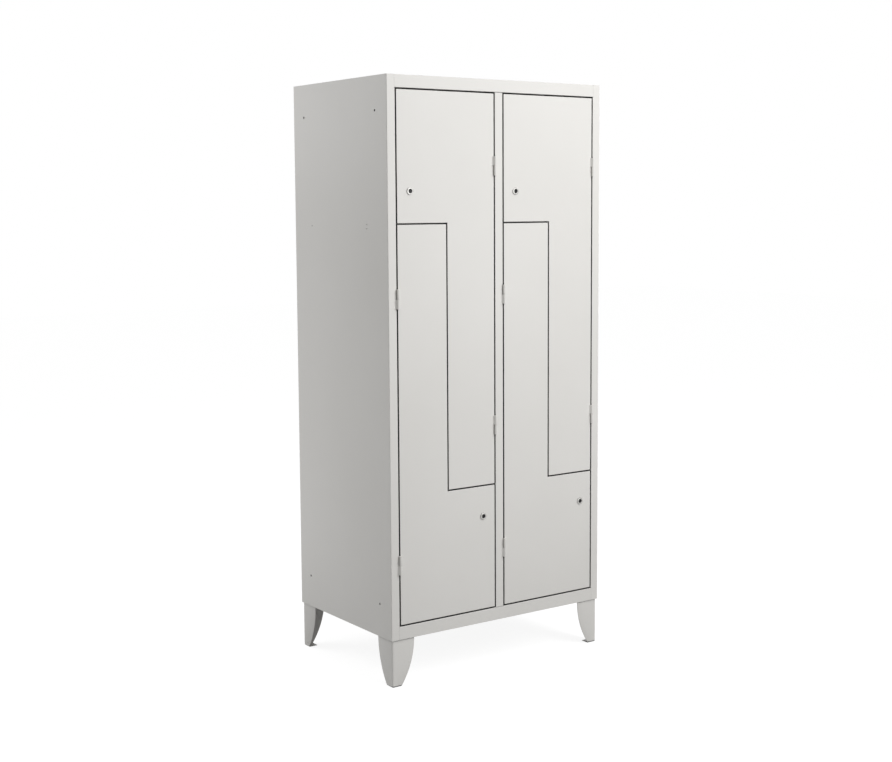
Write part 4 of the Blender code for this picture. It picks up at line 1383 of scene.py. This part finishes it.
class LOCKER_OT_stage(bpy.types.Operator):
    """Pale floor, white surround, soft lamps and the camera"""

    bl_idname = "locker.stage"
    bl_label = "Stage"

    def execute(self, context):
        studio = context.scene.locker_studio
        self.camera(context, studio)
        self.surround(context, studio)
        self.floor(context, studio)
        for name in ("key", "front", "rear", "low"):
            self.lamp(context, studio, name)
        context.scene.view_settings.view_transform = "Standard"
        return {"FINISHED"}

    def camera(self, context, studio):
        """A camera looking along its yaw and pitch, rolled about that line."""
        yaw, pitch, roll = studio.camera_yaw, studio.camera_pitch, studio.camera_roll
        ahead = Vector((math.sin(yaw) * math.cos(pitch), math.cos(yaw) * math.cos(pitch),
                        math.sin(pitch)))
        right = Vector((math.cos(yaw), -math.sin(yaw), 0.0))
        up = right.cross(ahead)
        turn = Matrix((math.cos(roll) * right + math.sin(roll) * up,
                       math.cos(roll) * up - math.sin(roll) * right, -ahead)).transposed()
        lens = bpy.data.cameras.new("camera")
        lens.sensor_fit = "HORIZONTAL"
        lens.sensor_width = 36.0
        lens.lens = studio.focal_pixels * lens.sensor_width / IMAGE_WIDTH
        lens.shift_y = studio.shift_up
        camera = bpy.data.objects.new("camera", lens)
        camera.matrix_world = Matrix.Translation(Vector(studio.camera_place)) @ turn.to_4x4()
        context.scene.collection.objects.link(camera)
        context.scene.camera = camera

    def seen(self, tree):
        """One for what the camera, a reflection or glass shows, and none for what lights."""
        path = node(tree, "LightPath").outputs
        shown = maths(tree, "MAXIMUM", path["Is Camera Ray"], path["Is Glossy Ray"])
        return maths(tree, "MAXIMUM", shown, path["Is Transmission Ray"])

    def surround(self, context, studio):
        """An even world, white to the camera and in reflections."""
        world = bpy.data.worlds.new("white_surround")
        world.use_nodes = True
        tree = world.node_tree
        light = tree.nodes["Background"].inputs
        light["Color"].default_value = (1.0, 1.0, 1.0, 1.0)
        feed(tree, ranged(tree, self.seen(tree), studio.sky_strength, 1.0, 0.0, 1.0),
             light["Strength"])
        context.scene.world = world

    def floor(self, context, studio):
        """A floor that looks white, keeps a faint shadow and returns little light."""
        half = studio.floor_size / 2
        mesh = bpy.data.meshes.new("floor")
        mesh.from_pydata([(-half, -half, 0), (half, -half, 0), (half, half, 0), (-half, half, 0)],
                         [], [(0, 1, 2, 3)])
        floor = bpy.data.objects.new("floor", mesh)
        context.scene.collection.objects.link(floor)
        made = bpy.data.materials.new("white_floor")
        made.use_nodes = True
        tree = made.node_tree
        tree.nodes.remove(tree.nodes["Principled BSDF"])
        pale = node(tree, "BsdfDiffuse", Color=(*[studio.floor_grey] * 3, 1.0)).outputs[0]
        glow = node(tree, "Emission", Color=(1.0, 1.0, 1.0, 1.0),
                    Strength=studio.floor_glow).outputs[0]
        both, mix = node(tree, "AddShader"), node(tree, "MixShader")
        for value, socket in ((pale, both.inputs[0]), (glow, both.inputs[1]),
                              (self.seen(tree), mix.inputs[0]), (pale, mix.inputs[1]),
                              (both.outputs[0], mix.inputs[2]),
                              (mix.outputs[0], tree.nodes["Material Output"].inputs["Surface"])):
            feed(tree, value, socket)
        mesh.materials.append(made)

    def lamp(self, context, studio, name):
        """A large square lamp turned towards the aim point."""
        light = bpy.data.lights.new(name + "_lamp", "AREA")
        light.size = studio.lamp_size
        light.energy = getattr(studio, name + "_power")
        lamp = bpy.data.objects.new(name + "_lamp", light)
        lamp.location = getattr(studio, name + "_place")
        aim = Vector((0.0, 0.0, studio.aim_height)) - lamp.location
        lamp.rotation_euler = aim.to_track_quat("-Z", "Y").to_euler()
        context.scene.collection.objects.link(lamp)


OPERATORS = (
    LOCKER_OT_side_panels, LOCKER_OT_rails_and_stile, LOCKER_OT_inner_walls, LOCKER_OT_coat_rails,
    LOCKER_OT_legs, LOCKER_OT_door_panels, LOCKER_OT_hinges, LOCKER_OT_locks,
    LOCKER_OT_carried_finishes, LOCKER_OT_stage,
)
GROUPS = {
    "locker_sheet": LockerSheet,
    "locker_fittings": LockerFittings,
    "locker_finish": LockerFinish,
    "locker_studio": LockerStudio,
}


class LOCKER_PT_pieces(bpy.types.Panel):
    """The locker's pieces, sizes and colours"""

    bl_idname = "LOCKER_PT_pieces"
    bl_label = "Z locker"
    bl_space_type = "VIEW_3D"
    bl_region_type = "UI"
    bl_category = "Locker"

    def draw(self, context):
        for operator in OPERATORS:
            self.layout.operator(operator.bl_idname)
        for name in GROUPS:
            box = self.layout.box()
            settings = getattr(context.scene, name)
            for key in settings.__annotations__:
                box.prop(settings, key)


def register():
    """Register the settings, the operators and the panel."""
    for name, group in GROUPS.items():
        bpy.utils.register_class(group)
        setattr(bpy.types.Scene, name, PointerProperty(type=group))
    for operator in OPERATORS:
        bpy.utils.register_class(operator)
    bpy.utils.register_class(LOCKER_PT_pieces)


def unregister():
    """Undo register."""
    bpy.utils.unregister_class(LOCKER_PT_pieces)
    for operator in reversed(OPERATORS):
        bpy.utils.unregister_class(operator)
    for name, group in reversed(GROUPS.items()):
        delattr(bpy.types.Scene, name)
        bpy.utils.unregister_class(group)


def main():
    """Build every piece and the stage."""
    register()
    for operator in OPERATORS:
        group, action = operator.bl_idname.split(".")
        getattr(getattr(bpy.ops, group), action)()


if __name__ == "__main__":
    main()
